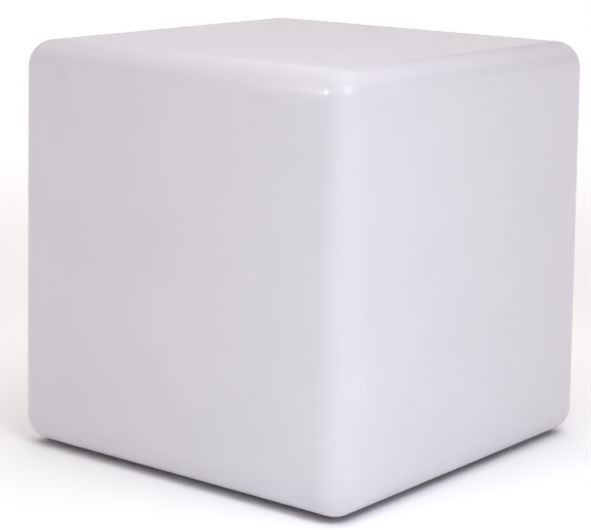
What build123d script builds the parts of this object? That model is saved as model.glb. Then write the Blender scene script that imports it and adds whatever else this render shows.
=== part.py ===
from build123d import *
from math import asin, cos, hypot, radians, sin, tan
import os

# A rechargeable light in the shape of a cube, big enough to sit on: a hollow plastic shell moulded in
# one piece, with a sealed light module screwed into a round recess underneath. Millimetres, +Z up.
# The origin is on the floor, under the middle of the cube.

os.makedirs("parts", exist_ok=True)

# ---- Driving dimensions: shell -----------------------------------------------------------------

SHELL_SIDE = 400.0  # across the flats, half way up
SHELL_HEIGHT = 397.0
SHELL_DRAFT = 0.62  # degrees that each side leans in towards the top
SHELL_EDGE_RADIUS = 26.0
SHELL_WALL = 4.0
RECESS_DEPTH = 20.0  # the round recess under the cube
RECESS_MOUTH_ROUND = 3.0
LEDGE_WIDTH = 22.0  # the flat ring that the light module is screwed to
LEDGE_CLEARANCE = 7.5  # between the module's housing and the ledge's opening

FOOT_STANDOFF = 3.0  # how far the feet hold the shell off the floor
FOOT_RADIUS = 12.0
FOOT_POCKET_DEPTH = 3.0
FOOT_CLEARANCE = 0.3
FOOT_INSET = 55.0  # from the side of the shell to the foot's centre
FOOT_LAND = 0.8  # rubber under the head of its screw
FOOT_EDGE_ROUND = 1.0

INSERT_COUNT = 6
INSERT_RADIUS = 3.0
INSERT_LENGTH = 10.0
BOSS_WALL = 4.0

# ---- Driving dimensions: screws ----------------------------------------------------------------

BIG_SCREW_RADIUS = 2.0  # M4
BIG_HEAD_RADIUS = 4.0
BIG_HEAD_HEIGHT = 3.0
SMALL_SCREW_RADIUS = 1.5  # M3
SMALL_HEAD_RADIUS = 2.75
SMALL_HEAD_HEIGHT = 2.2
THREAD_CLEARANCE = 0.05
SHANK_CLEARANCE = 0.25
WASHER_THICKNESS = 0.8
WASHER_MARGIN = 0.5  # how far a washer stands out past its screw's head
THREAD_GRIP = 8.0  # length of a small screw in its post
THREAD_SPARE = 2.0  # hole left past the end of a screw
HEAD_CHAMFER = 0.55
CROSS_SPAN = 1.1  # length of a driver's slot, as a share of the head's radius
CROSS_WIDTH = 0.25  # and its width

# ---- Driving dimensions: base plate and housing ------------------------------------------------

PLATE_THICKNESS = 4.0
PLATE_CLEARANCE = 2.0
PLATE_EDGE_ROUND = 1.0
GASKET_THICKNESS = 2.0
GASKET_MARGIN = 1.5
RIB_HEIGHT = 2.0
RIB_WIDTH = 2.0
RIB_COUNT = 8
INNER_RIB_RADIUS = 58.0
POST_RADIUS = 3.5
HOUSING_WALL = 2.5
HOUSING_ROOF = 3.0
HOUSING_INNER_HEIGHT = 55.0
HOUSING_CLEARANCE = 1.2
HOUSING_SEAL_THICKNESS = 1.0
HOUSING_BOSS_RADIUS = 4.5
HOUSING_BOSS_HEIGHT = 14.0
HOUSING_BOSS_FLOOR = 2.0  # solid plastic past the end of a screw's hole
HOUSING_EDGE_ROUND = 1.5

# ---- Driving dimensions: battery ---------------------------------------------------------------

CELL_RADIUS = 9.2
CELL_LENGTH = 65.0
CELL_COUNT = 3
CELL_GAP = 0.8
CELL_CLEARANCE = 0.2
CELL_GROOVE_DEPTH = 0.6
CELL_GROOVE_WIDTH = 1.2
CELL_GROOVE_FROM_END = 3.0
CRADLE_FLOOR = 2.0
CRADLE_WALL = 2.0
CRADLE_FROM_CENTRE = 2.6  # from the middle plane to the cradle's near side
STRIP_THICKNESS = 0.2
STRIP_WIDTH = 7.0
STRIP_CLEARANCE = 0.3
TAB_WIDTH = 3.0
TAB_LAP = 3.0  # length of a tab that lies on the protection board
CLAMP_CLEARANCE = 0.3
CLAMP_RISE = 5.0  # underside of the clamp above the cells' axes
CLAMP_CAP = 2.1  # clamp above the tops of the cells
PROTECTION_WIDTH = 16.0
PROTECTION_THICKNESS = 1.0
PROTECTION_END_MARGIN = 10.0
PROTECTION_CHIP_SIDE = 4.0
PROTECTION_CHIP_HEIGHT = 1.2
PROTECTION_CHIP_COUNT = 3

# ---- Driving dimensions: control board ---------------------------------------------------------

BOARD_THICKNESS = 1.6
BOARD_CORNER = 3.0
BOARD_MARGIN = 4.5  # from the fixing screws to the board's edge
BOARD_ROOM = 7.0  # between the protection board and the control board
POST_CLEARANCE = 1.0
CHIP_LENGTH = 10.0
CHIP_WIDTH = 4.0
CHIP_HEIGHT = 1.7
DRIVER_SIDE = 6.5
DRIVER_HEIGHT = 2.3
DRIVER_COUNT = 4
DRIVER_PITCH = 9.0
INDUCTOR_SIDE = 12.0
INDUCTOR_HEIGHT = 7.0
INDUCTOR_CORNER = 2.0
CAPACITOR_RADIUS = 4.0
CAPACITOR_HEIGHT = 11.0
CAPACITOR_ROUND = 0.8
CAPACITOR_PITCH = 10.0
CAPACITOR_FROM_POST = 11.5
COMPONENT_ROW_OFFSET = 6.4  # behind the middle of the board
CONNECTOR_PITCH = 14.0
CONNECTOR_WIDTH = 8.0
CONNECTOR_DEPTH = 6.0
CONNECTOR_HEIGHT = 6.0
CONNECTOR_SETBACK = 1.0
CONNECTOR_WALL = 1.0

# ---- Driving dimensions: light source ----------------------------------------------------------

SPREADER_THICKNESS = 3.0
SPREADER_MARGIN = 1.5
LED_BOARD_THICKNESS = 1.6
LED_BOARD_CLEARANCE = 5.0
LED_SIDE = 5.0
LED_HEIGHT = 1.6
LED_WINDOW_RADIUS = 2.0
LED_WINDOW_DEPTH = 0.4
INNER_LED_RADIUS = 22.0
INNER_LED_COUNT = 8
OUTER_LED_RADIUS = 42.0
OUTER_LED_COUNT = 16
RESISTOR_LENGTH = 2.0
RESISTOR_WIDTH = 1.25
RESISTOR_HEIGHT = 0.5
RESISTOR_COUNT = 12
RESISTOR_FROM_EDGE = 4.5
LED_SCREW_COUNT = 3
RECEIVER_WIDTH = 6.0
RECEIVER_DEPTH = 4.0
RECEIVER_HEIGHT = 6.0
RECEIVER_LENS_RADIUS = 1.8
RECEIVER_LENS_RISE = 0.9
RECEIVER_LENS_ROUND = 0.6
DOME_FLANGE = 13.0
DOME_FLANGE_THICKNESS = 2.5
DOME_SEAL_THICKNESS = 1.0
DOME_RISE = 24.0
DOME_WALL = 2.0
DOME_SCREW_COUNT = 4
DOME_BOSS_RADIUS = 4.0
GROMMET_RADIUS = 3.5
GROMMET_FLANGE_RADIUS = 5.0
GROMMET_FLANGE_THICKNESS = 1.5
GROMMET_CLEARANCE = 0.1

# ---- Driving dimensions: controls and leads ----------------------------------------------------

CONTROL_SETBACK = 35.0  # from the middle plane to the line of the controls
CONTROL_SEAL_THICKNESS = 1.0
CONTROL_HOLE_CLEARANCE = 0.1
CONTROL_FLANGE_THICKNESS = 2.0
CONTROL_FLANGE_CHAMFER = 0.5
NUT_THICKNESS = 3.0
NUT_CHAMFER = 0.4
NUT_WALL = 2.0  # thinnest wall of a nut, across its flats

BUTTON_BARREL_RADIUS = 6.0
BUTTON_BARREL_LENGTH = 22.0
BUTTON_FLANGE_RADIUS = 9.0
BUTTON_BORE_RADIUS = 5.0
BUTTON_ROOF = 4.0
BUTTON_CAP_RADIUS = 4.1
BUTTON_CAP_PROUD = 1.5
BUTTON_CAP_ROUND = 1.0
BUTTON_COLLAR_HEIGHT = 2.1
BUTTON_TRAVEL = 1.5
SLIDE_CLEARANCE = 0.15
CONTACT_RADIUS = 3.2
CONTACT_THICKNESS = 0.8
CONTACT_GAP = 0.1  # left between the contact and the pins when the cap is pressed right in
SPRING_RADIUS = 4.2
SPRING_WIRE_RADIUS = 0.3
SPRING_TURNS = 5
SPRING_END_GAP = 0.1
PIN_RADIUS = 0.5
PIN_SPACING = 2.0
PIN_TAIL = 5.0

JACK_BARREL_RADIUS = 5.5
JACK_BARREL_LENGTH = 15.0
JACK_FLANGE_RADIUS = 7.5
JACK_SOCKET_RADIUS = 2.9  # takes a 5.5 mm plug
JACK_SOCKET_DEPTH = 11.0
JACK_PIN_RADIUS = 1.05  # fits a plug with a 2.1 mm bore
JACK_PIN_SETBACK = 1.5
JACK_PIN_ROOT = 2.1  # length held in the plastic
JACK_PIN_CHAMFER = 0.35
JACK_TAB_THICKNESS = 0.8
JACK_TAB_WIDTH = 3.0
JACK_TAB_LENGTH = 7.0
JACK_TAB_SPACING = 2.0

FLAP_THICKNESS = 2.2
FLAP_GAP = 0.3
FLAP_MARGIN = 1.0
FLAP_REACH = 13.0  # from the jack's axis to the flap's hinge line
FLAP_ARM_WIDTH = 5.0
FLAP_STEM_LENGTH = 2.6
FLAP_STEM_TAPER = 5.0  # degrees
FLAP_STEM_CLEARANCE = 0.6
FLAP_STEM_WALL = 0.6
ANCHOR_WIDTH = 8.0
ANCHOR_LENGTH = 10.0
ANCHOR_STUD_RADIUS = 1.8
ANCHOR_HEAD_RADIUS = 3.0
ANCHOR_HEAD_HEIGHT = 1.8
ANCHOR_HEAD_TAPER = 20.0  # degrees

LENS_RADIUS = 2.0
LENS_FLANGE_RADIUS = 3.0
LENS_FLANGE_THICKNESS = 1.0
LENS_TAIL = 2.0
INDICATOR_RADIUS = 1.5
INDICATOR_HEIGHT = 5.0

LEAD_RADIUS = 1.0
LED_LEAD_RADIUS = 1.5
LEAD_BEND = 12.0
LED_LEAD_SETBACK = 11.0  # from the middle plane to where the lead passes up through the roof
LED_LEAD_LOOP = 13.4  # height of its loop above the light board
LED_LEAD_BEND = 7.5
BEND_SHARE = 0.49  # the most of a run between two bends that one of them takes up
END_BEND_SHARE = 0.9  # and of a run at the end of a lead

# ---- Levels, worked out upwards from the floor -------------------------------------------------

shell_bottom = FOOT_STANDOFF
ledge_underside = shell_bottom + RECESS_DEPTH
plate_top = ledge_underside - GASKET_THICKNESS
plate_underside = plate_top - PLATE_THICKNESS

cell_level = plate_top + CRADLE_FLOOR + CELL_CLEARANCE + CELL_RADIUS
clamp_underside = cell_level + CLAMP_RISE
clamp_top = cell_level + CELL_RADIUS + CLAMP_CLEARANCE + CLAMP_CAP
protection_top = clamp_top + PROTECTION_THICKNESS
board_underside = protection_top + BOARD_ROOM
board_top = board_underside + BOARD_THICKNESS
connector_level = board_top + CONNECTOR_HEIGHT / 2

housing_rim = plate_top + HOUSING_SEAL_THICKNESS
roof_underside = housing_rim + HOUSING_INNER_HEIGHT
roof_top = roof_underside + HOUSING_ROOF
spreader_top = roof_top + SPREADER_THICKNESS
led_board_top = spreader_top + LED_BOARD_THICKNESS
dome_seal_top = spreader_top + DOME_SEAL_THICKNESS
dome_flange_top = dome_seal_top + DOME_FLANGE_THICKNESS

seal_underside = plate_underside - CONTROL_SEAL_THICKNESS
flange_underside = seal_underside - CONTROL_FLANGE_THICKNESS

# ---- Places in plan ----------------------------------------------------------------------------

cell_pitch = 2 * CELL_RADIUS + CELL_GAP
first_cell_y = CRADLE_FROM_CENTRE + CRADLE_WALL + CELL_CLEARANCE + CELL_RADIUS
cell_ys = [first_cell_y + cell_pitch * i for i in range(CELL_COUNT)]
pack_centre_y = (cell_ys[0] + cell_ys[-1]) / 2
cradle_length = CELL_LENGTH + 2 * (STRIP_THICKNESS + STRIP_CLEARANCE + CRADLE_WALL)
cradle_width = cell_ys[-1] - cell_ys[0] + 2 * (CELL_RADIUS + CELL_CLEARANCE + CRADLE_WALL)
cradle_far = pack_centre_y + cradle_width / 2

post_x = cradle_length / 2 + POST_CLEARANCE + POST_RADIUS
board_posts = [(x, y) for x in (-post_x, post_x) for y in (cell_ys[0], cell_ys[-1])]
clamp_posts = [(-post_x, pack_centre_y), (post_x, pack_centre_y)]
board_length = 2 * (post_x + BOARD_MARGIN)
board_width = cell_ys[-1] - cell_ys[0] + 2 * BOARD_MARGIN
board_near = pack_centre_y - board_width / 2
connector_face = board_near + CONNECTOR_SETBACK
connector_xs = [CONNECTOR_PITCH * i for i in (-2, -1, 0, 1, 2)]
button_lead_x, indicator_lead_x, led_lead_x, battery_lead_x, jack_lead_x = connector_xs

boss_reach = 2 * HOUSING_BOSS_RADIUS - HOUSING_WALL / 2  # of a screw boss, in from the housing's wall
housing_inner_radius = HOUSING_CLEARANCE + max(
    hypot(cradle_length / 2, cradle_far),
    hypot(board_length / 2, pack_centre_y + board_width / 2),
    cradle_far + boss_reach,
)
housing_radius = housing_inner_radius + HOUSING_WALL
housing_screw_circle = housing_inner_radius - boss_reach + HOUSING_BOSS_RADIUS
ledge_opening = housing_radius + LEDGE_CLEARANCE
recess_radius = ledge_opening + LEDGE_WIDTH
insert_circle = ledge_opening + LEDGE_WIDTH / 2
plate_radius = recess_radius - PLATE_CLEARANCE
outer_rib_radius = ledge_opening + RIB_WIDTH

spreader_radius = housing_radius - SPREADER_MARGIN
dome_radius = spreader_radius - DOME_FLANGE
dome_screw_circle = spreader_radius - DOME_FLANGE / 2
led_board_radius = dome_radius - DOME_WALL - LED_BOARD_CLEARANCE
led_screw_circle = (INNER_LED_RADIUS + OUTER_LED_RADIUS) / 2
resistor_circle = led_board_radius - RESISTOR_FROM_EDGE

button_place = (button_lead_x, -CONTROL_SETBACK)
indicator_place = (indicator_lead_x, -CONTROL_SETBACK)
jack_place = (jack_lead_x, -CONTROL_SETBACK)
led_lead_place = (led_lead_x, -LED_LEAD_SETBACK)
led_connector_place = (led_lead_x, LED_LEAD_SETBACK / 2)
flap_hinge_y = FLAP_REACH - CONTROL_SETBACK

base_side = SHELL_SIDE + SHELL_HEIGHT * tan(radians(SHELL_DRAFT))
foot_reach = base_side / 2 - FOOT_INSET
foot_places = [(x, y) for x in (-foot_reach, foot_reach) for y in (-foot_reach, foot_reach)]


# ---- Shapes that are used more than once -------------------------------------------------------


def circle_places(radius, count, start=0.0):
    """Evenly spaced points on a circle about the middle of the cube; start in degrees."""
    angles = [radians(start + 360 * i / count) for i in range(count)]
    return [(radius * cos(angle), radius * sin(angle)) for angle in angles]


def drafted_block(bottom, height, side, radius):
    """A square block whose sides lean in by the shell's draft, with all its edges rounded alike."""
    with BuildPart() as block:
        with BuildSketch(Plane.XY.offset(bottom)):
            Rectangle(side, side)
        extrude(amount=height, taper=SHELL_DRAFT)
        fillet(block.edges(), radius=radius)
    return block.part


def screws(places, seat, way, shank_radius, length, head_radius, head_height):
    """Cross-headed screws along Z: heads on the level seat, shanks pointing up (1) or down (-1)."""
    with BuildPart() as group:
        with BuildSketch(Plane.XY.offset(seat)):
            with Locations(*places):
                Circle(shank_radius)
        extrude(amount=way * length)
        with BuildSketch(Plane.XY.offset(seat)):
            with Locations(*places):
                Circle(head_radius)
        extrude(amount=-way * head_height)
        crown = group.faces().filter_by(Axis.Z).sort_by(Axis.Z, reverse=way < 0)[: len(places)]
        chamfer(crown.edges(), length=HEAD_CHAMFER)
        with BuildSketch(Plane.XY.offset(seat - way * head_height)):
            with Locations(*places):
                Rectangle(CROSS_SPAN * head_radius, CROSS_WIDTH * head_radius)
                Rectangle(CROSS_WIDTH * head_radius, CROSS_SPAN * head_radius)
        extrude(amount=way * head_height / 2, mode=Mode.SUBTRACT)
    return group


def rings(places, bottom, thickness, outer_radius, inner_radius):
    """Flat rings, such as washers and seals."""
    with BuildPart() as group:
        with BuildSketch(Plane.XY.offset(bottom)):
            with Locations(*places):
                Circle(outer_radius)
                Circle(inner_radius, mode=Mode.SUBTRACT)
        extrude(amount=thickness)
    return group


def panel_nut(place, barrel_radius):
    """The hexagonal nut that holds a control against the inside of the base plate."""
    with BuildPart() as nut:
        with BuildSketch(Plane.XY.offset(plate_top)):
            with Locations(place):
                RegularPolygon(barrel_radius + NUT_WALL, side_count=6, major_radius=False)
                Circle(barrel_radius + THREAD_CLEARANCE, mode=Mode.SUBTRACT)
        extrude(amount=NUT_THICKNESS)
        chamfer(nut.faces().sort_by(Axis.Z)[-1].outer_wire().edges(), length=NUT_CHAMFER)
    return nut


def lead(points, bends, radius):
    """An insulated lead along straight runs joined by arcs."""
    with BuildPart() as cable:
        with BuildLine() as route:
            FilletPolyline(*points, radius=bends)
        with BuildSketch(Plane(origin=route.line @ 0, z_dir=route.line % 0)):
            Circle(radius)
        sweep(path=route.line)
    return cable


# ---- Cube shell: one hollow moulding with a recess, screw bosses and foot pockets underneath ---

draft = radians(SHELL_DRAFT)
cavity_side = base_side - 2 * SHELL_WALL * (tan(draft) + 1 / cos(draft))
outer_block = drafted_block(shell_bottom, SHELL_HEIGHT, base_side, SHELL_EDGE_RADIUS)
cavity_block = drafted_block(
    shell_bottom + SHELL_WALL,
    SHELL_HEIGHT - 2 * SHELL_WALL,
    cavity_side,
    SHELL_EDGE_RADIUS - SHELL_WALL,
)
insert_places = circle_places(insert_circle, INSERT_COUNT)
insert_hole_depth = INSERT_LENGTH + THREAD_SPARE
foot_pocket_radius = FOOT_RADIUS + FOOT_CLEARANCE
foot_top = shell_bottom + FOOT_POCKET_DEPTH
foot_screw_seat = foot_top - FOOT_LAND
foot_screw_length = FOOT_LAND + SHELL_WALL + THREAD_GRIP
foot_boss_height = foot_screw_length + THREAD_SPARE + SHELL_WALL

with BuildPart() as cube_shell:
    add(outer_block)
    add(cavity_block, mode=Mode.SUBTRACT)
    with BuildSketch(Plane.XY.offset(shell_bottom)):
        Circle(recess_radius + SHELL_WALL)
    extrude(amount=RECESS_DEPTH + SHELL_WALL)
    with BuildSketch(Plane.XY.offset(ledge_underside)):
        with Locations(*insert_places):
            Circle(INSERT_RADIUS + BOSS_WALL)
    extrude(amount=insert_hole_depth + BOSS_WALL)
    with BuildSketch(Plane.XY.offset(shell_bottom)):
        with Locations(*foot_places):
            Circle(foot_pocket_radius + SHELL_WALL)
    extrude(amount=FOOT_POCKET_DEPTH + SHELL_WALL)
    with BuildSketch(Plane.XY.offset(foot_top)):
        with Locations(*foot_places):
            Circle(BIG_SCREW_RADIUS + BOSS_WALL)
    extrude(amount=foot_boss_height)
    with BuildSketch(Plane.XY.offset(shell_bottom)):
        Circle(recess_radius)
        with Locations(*foot_places):
            Circle(foot_pocket_radius)
    extrude(amount=FOOT_POCKET_DEPTH, mode=Mode.SUBTRACT)
    with BuildSketch(Plane.XY.offset(foot_top)):
        Circle(recess_radius)
    extrude(amount=ledge_underside - foot_top, mode=Mode.SUBTRACT)
    with BuildSketch(Plane.XY.offset(foot_top)):
        with Locations(*foot_places):
            Circle(BIG_SCREW_RADIUS + THREAD_CLEARANCE)
    extrude(amount=foot_screw_length + THREAD_SPARE, mode=Mode.SUBTRACT)
    with BuildSketch(Plane.XY.offset(ledge_underside)):
        with Locations(*insert_places):
            Circle(INSERT_RADIUS)
    extrude(amount=insert_hole_depth, mode=Mode.SUBTRACT)
    with BuildSketch(Plane.XY.offset(ledge_underside)):
        Circle(ledge_opening)
    extrude(amount=SHELL_WALL, mode=Mode.SUBTRACT)
    mouth = (
        cube_shell.edges()
        .filter_by(GeomType.CIRCLE)
        .filter_by_position(Axis.Z, shell_bottom - 0.01, shell_bottom + 0.01)
        .sort_by(SortBy.RADIUS)[-1]
    )
    fillet(mouth, radius=RECESS_MOUTH_ROUND)
cube_shell.part.label = "cube_shell"
export_step(cube_shell.part, "parts/cube_shell.step")

# ---- Brass inserts in the ledge, and the rubber feet with their screws -------------------------

threaded_inserts = rings(
    insert_places,
    ledge_underside,
    INSERT_LENGTH,
    INSERT_RADIUS,
    BIG_SCREW_RADIUS + THREAD_CLEARANCE,
)
threaded_inserts.part.label = "threaded_inserts"
export_step(threaded_inserts.part, "parts/threaded_inserts.step")

foot_bore_radius = BIG_HEAD_RADIUS + SHANK_CLEARANCE
with BuildPart() as rubber_feet:
    with BuildSketch(Plane.XY):
        with Locations(*foot_places):
            Circle(FOOT_RADIUS)
    extrude(amount=foot_top)
    fillet(rubber_feet.edges().group_by(Axis.Z)[0], radius=FOOT_EDGE_ROUND)
    with BuildSketch(Plane.XY):
        with Locations(*foot_places):
            Circle(foot_bore_radius)
    extrude(amount=foot_screw_seat, mode=Mode.SUBTRACT)
    with BuildSketch(Plane.XY.offset(foot_screw_seat)):
        with Locations(*foot_places):
            Circle(BIG_SCREW_RADIUS + SHANK_CLEARANCE)
    extrude(amount=foot_top - foot_screw_seat, mode=Mode.SUBTRACT)
rubber_feet.part.label = "rubber_feet"
export_step(rubber_feet.part, "parts/rubber_feet.step")

foot_screws = screws(
    foot_places, foot_screw_seat, 1, BIG_SCREW_RADIUS, foot_screw_length, BIG_HEAD_RADIUS, BIG_HEAD_HEIGHT
)
foot_screws.part.label = "foot_screws"
export_step(foot_screws.part, "parts/foot_screws.step")

# ---- Base plate: the round lid of the recess, which carries the whole light module -------------

housing_screw_places = circle_places(housing_screw_circle, 4)
rib_length = outer_rib_radius - INNER_RIB_RADIUS
rib_middle = (outer_rib_radius + INNER_RIB_RADIUS) / 2
button_hole_radius = BUTTON_BARREL_RADIUS + CONTROL_HOLE_CLEARANCE
jack_hole_radius = JACK_BARREL_RADIUS + CONTROL_HOLE_CLEARANCE
lens_hole_radius = LENS_RADIUS + THREAD_CLEARANCE
stud_hole_radius = ANCHOR_STUD_RADIUS + CONTROL_HOLE_CLEARANCE
anchor_gap = FLAP_THICKNESS / 2 + FLAP_GAP
stud_place = (jack_place[0], flap_hinge_y + anchor_gap + ANCHOR_LENGTH / 2)
post_hole_radius = SMALL_SCREW_RADIUS + THREAD_CLEARANCE
post_hole_depth = THREAD_GRIP + THREAD_SPARE

with BuildPart() as base_plate:
    with BuildSketch(Plane.XY.offset(plate_underside)):
        Circle(plate_radius)
    extrude(amount=PLATE_THICKNESS)
    rim = base_plate.faces().sort_by(Axis.Z)[0].edges()
    fillet(rim, radius=PLATE_EDGE_ROUND)
    with BuildSketch(Plane.XY.offset(plate_underside)):
        for rib_radius in (outer_rib_radius, INNER_RIB_RADIUS):
            Circle(rib_radius + RIB_WIDTH / 2)
            Circle(rib_radius - RIB_WIDTH / 2, mode=Mode.SUBTRACT)
        with PolarLocations(rib_middle, RIB_COUNT, start_angle=180 / RIB_COUNT):
            Rectangle(rib_length, RIB_WIDTH)
    extrude(amount=-RIB_HEIGHT)
    with BuildSketch(Plane.XY.offset(plate_top)):
        with Locations(*board_posts):
            Circle(POST_RADIUS)
    extrude(amount=board_underside - plate_top)
    with BuildSketch(Plane.XY.offset(plate_top)):
        with Locations(*clamp_posts):
            Circle(POST_RADIUS)
    extrude(amount=clamp_underside - plate_top)
    with BuildSketch(Plane.XY.offset(board_underside)):
        with Locations(*board_posts):
            Circle(post_hole_radius)
    extrude(amount=-post_hole_depth, mode=Mode.SUBTRACT)
    with BuildSketch(Plane.XY.offset(clamp_underside)):
        with Locations(*clamp_posts):
            Circle(post_hole_radius)
    extrude(amount=-post_hole_depth, mode=Mode.SUBTRACT)
    with BuildSketch(Plane.XY.offset(plate_underside)):
        with Locations(*insert_places):
            Circle(BIG_SCREW_RADIUS + SHANK_CLEARANCE)
        with Locations(*housing_screw_places):
            Circle(SMALL_SCREW_RADIUS + SHANK_CLEARANCE)
        with Locations(button_place):
            Circle(button_hole_radius)
        with Locations(jack_place):
            Circle(jack_hole_radius)
        with Locations(indicator_place):
            Circle(lens_hole_radius)
        with Locations(stud_place):
            Circle(stud_hole_radius)
    extrude(amount=PLATE_THICKNESS, mode=Mode.SUBTRACT)
base_plate.part.label = "base_plate"
export_step(base_plate.part, "parts/base_plate.step")

with BuildPart() as base_gasket:
    with BuildSketch(Plane.XY.offset(plate_top)):
        Circle(plate_radius - GASKET_MARGIN)
        Circle(ledge_opening + GASKET_MARGIN, mode=Mode.SUBTRACT)
        with Locations(*insert_places):
            Circle(BIG_SCREW_RADIUS + SHANK_CLEARANCE, mode=Mode.SUBTRACT)
    extrude(amount=GASKET_THICKNESS)
base_gasket.part.label = "base_gasket"
export_step(base_gasket.part, "parts/base_gasket.step")

washer_underside = plate_underside - WASHER_THICKNESS
base_screw_washers = rings(
    insert_places,
    washer_underside,
    WASHER_THICKNESS,
    BIG_HEAD_RADIUS + WASHER_MARGIN,
    BIG_SCREW_RADIUS + SHANK_CLEARANCE,
)
base_screw_washers.part.label = "base_screw_washers"
export_step(base_screw_washers.part, "parts/base_screw_washers.step")

base_screws = screws(
    insert_places,
    washer_underside,
    1,
    BIG_SCREW_RADIUS,
    WASHER_THICKNESS + PLATE_THICKNESS + GASKET_THICKNESS + INSERT_LENGTH - THREAD_SPARE,
    BIG_HEAD_RADIUS,
    BIG_HEAD_HEIGHT,
)
base_screws.part.label = "base_screws"
export_step(base_screws.part, "parts/base_screws.step")

# ---- Housing: an upturned cup over the battery and the electronics -----------------------------

dome_screw_places = circle_places(dome_screw_circle, DOME_SCREW_COUNT, start=180 / DOME_SCREW_COUNT)
dome_screw_length = (
    DOME_FLANGE_THICKNESS + DOME_SEAL_THICKNESS + SPREADER_THICKNESS + HOUSING_ROOF + THREAD_GRIP
)
dome_boss_height = post_hole_depth + HOUSING_BOSS_FLOOR
grommet_hole_radius = GROMMET_RADIUS + GROMMET_CLEARANCE
with BuildPart() as housing_cup:
    with BuildSketch(Plane.XY.offset(housing_rim)):
        Circle(housing_radius)
    extrude(amount=HOUSING_INNER_HEIGHT + HOUSING_ROOF)
    fillet(housing_cup.edges().group_by(Axis.Z)[-1], radius=HOUSING_EDGE_ROUND)
    with BuildSketch(Plane.XY.offset(housing_rim)):
        Circle(housing_inner_radius)
    extrude(amount=HOUSING_INNER_HEIGHT, mode=Mode.SUBTRACT)
    with BuildSketch(Plane.XY.offset(housing_rim)):
        with Locations(*housing_screw_places):
            Circle(HOUSING_BOSS_RADIUS)
    extrude(amount=HOUSING_BOSS_HEIGHT)
    with BuildSketch(Plane.XY.offset(roof_underside)):
        with Locations(*dome_screw_places):
            Circle(DOME_BOSS_RADIUS)
    extrude(amount=-dome_boss_height)
    with BuildSketch(Plane.XY.offset(housing_rim)):
        with Locations(*housing_screw_places):
            Circle(post_hole_radius)
    extrude(amount=post_hole_depth, mode=Mode.SUBTRACT)
    with BuildSketch(Plane.XY.offset(roof_top)):
        with Locations(*dome_screw_places):
            Circle(post_hole_radius)
    extrude(amount=-(HOUSING_ROOF + post_hole_depth), mode=Mode.SUBTRACT)
    with BuildSketch(Plane.XY.offset(roof_underside)):
        with Locations(led_lead_place):
            Circle(grommet_hole_radius)
    extrude(amount=HOUSING_ROOF, mode=Mode.SUBTRACT)
housing_cup.part.label = "housing_cup"
export_step(housing_cup.part, "parts/housing_cup.step")

with BuildPart() as housing_seal:
    with BuildSketch(Plane.XY.offset(plate_top)):
        Circle(housing_radius)
        Circle(housing_inner_radius, mode=Mode.SUBTRACT)
        with Locations(*housing_screw_places):
            Circle(HOUSING_BOSS_RADIUS)
            Circle(SMALL_SCREW_RADIUS + SHANK_CLEARANCE, mode=Mode.SUBTRACT)
    extrude(amount=HOUSING_SEAL_THICKNESS)
housing_seal.part.label = "housing_seal"
export_step(housing_seal.part, "parts/housing_seal.step")

housing_screws = screws(
    housing_screw_places,
    plate_underside,
    1,
    SMALL_SCREW_RADIUS,
    PLATE_THICKNESS + HOUSING_SEAL_THICKNESS + THREAD_GRIP,
    SMALL_HEAD_RADIUS,
    SMALL_HEAD_HEIGHT,
)
housing_screws.part.label = "housing_screws"
export_step(housing_screws.part, "parts/housing_screws.step")

# ---- Battery: cells in a cradle, joined by metal strips and held down by a clamp ---------------

strip_room = STRIP_THICKNESS + STRIP_CLEARANCE
with BuildPart() as battery_cradle:
    with BuildSketch(Plane.XY.offset(plate_top)):
        with Locations((0, pack_centre_y)):
            RectangleRounded(cradle_length, cradle_width, CRADLE_WALL)
    extrude(amount=cell_level - plate_top)
    with BuildSketch(Plane.YZ):
        with Locations(*[(y, cell_level) for y in cell_ys]):
            Circle(CELL_RADIUS + CELL_CLEARANCE)
    extrude(amount=CELL_LENGTH / 2 + strip_room, both=True, mode=Mode.SUBTRACT)
    with BuildSketch(Plane.XY.offset(cell_level)):
        for side in (-1, 1):
            with Locations((side * (CELL_LENGTH + strip_room) / 2, pack_centre_y)):
                Rectangle(strip_room, cell_ys[-1] - cell_ys[0] + STRIP_WIDTH + 2 * STRIP_CLEARANCE)
    extrude(amount=-(STRIP_WIDTH / 2 + STRIP_CLEARANCE), mode=Mode.SUBTRACT)
battery_cradle.part.label = "battery_cradle"
export_step(battery_cradle.part, "parts/battery_cradle.step")

groove_centre = CELL_LENGTH / 2 - CELL_GROOVE_FROM_END
with BuildPart() as battery_cells:
    with BuildSketch(Plane.YZ):
        with Locations(*[(y, cell_level) for y in cell_ys]):
            Circle(CELL_RADIUS)
    extrude(amount=CELL_LENGTH / 2, both=True)
    with BuildSketch(Plane.YZ.offset(groove_centre)):
        with Locations(*[(y, cell_level) for y in cell_ys]):
            Circle(CELL_RADIUS + CELL_GROOVE_DEPTH)
            Circle(CELL_RADIUS - CELL_GROOVE_DEPTH, mode=Mode.SUBTRACT)
    extrude(amount=CELL_GROOVE_WIDTH / 2, both=True, mode=Mode.SUBTRACT)
battery_cells.part.label = "battery_cells"
export_step(battery_cells.part, "parts/battery_cells.step")

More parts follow.
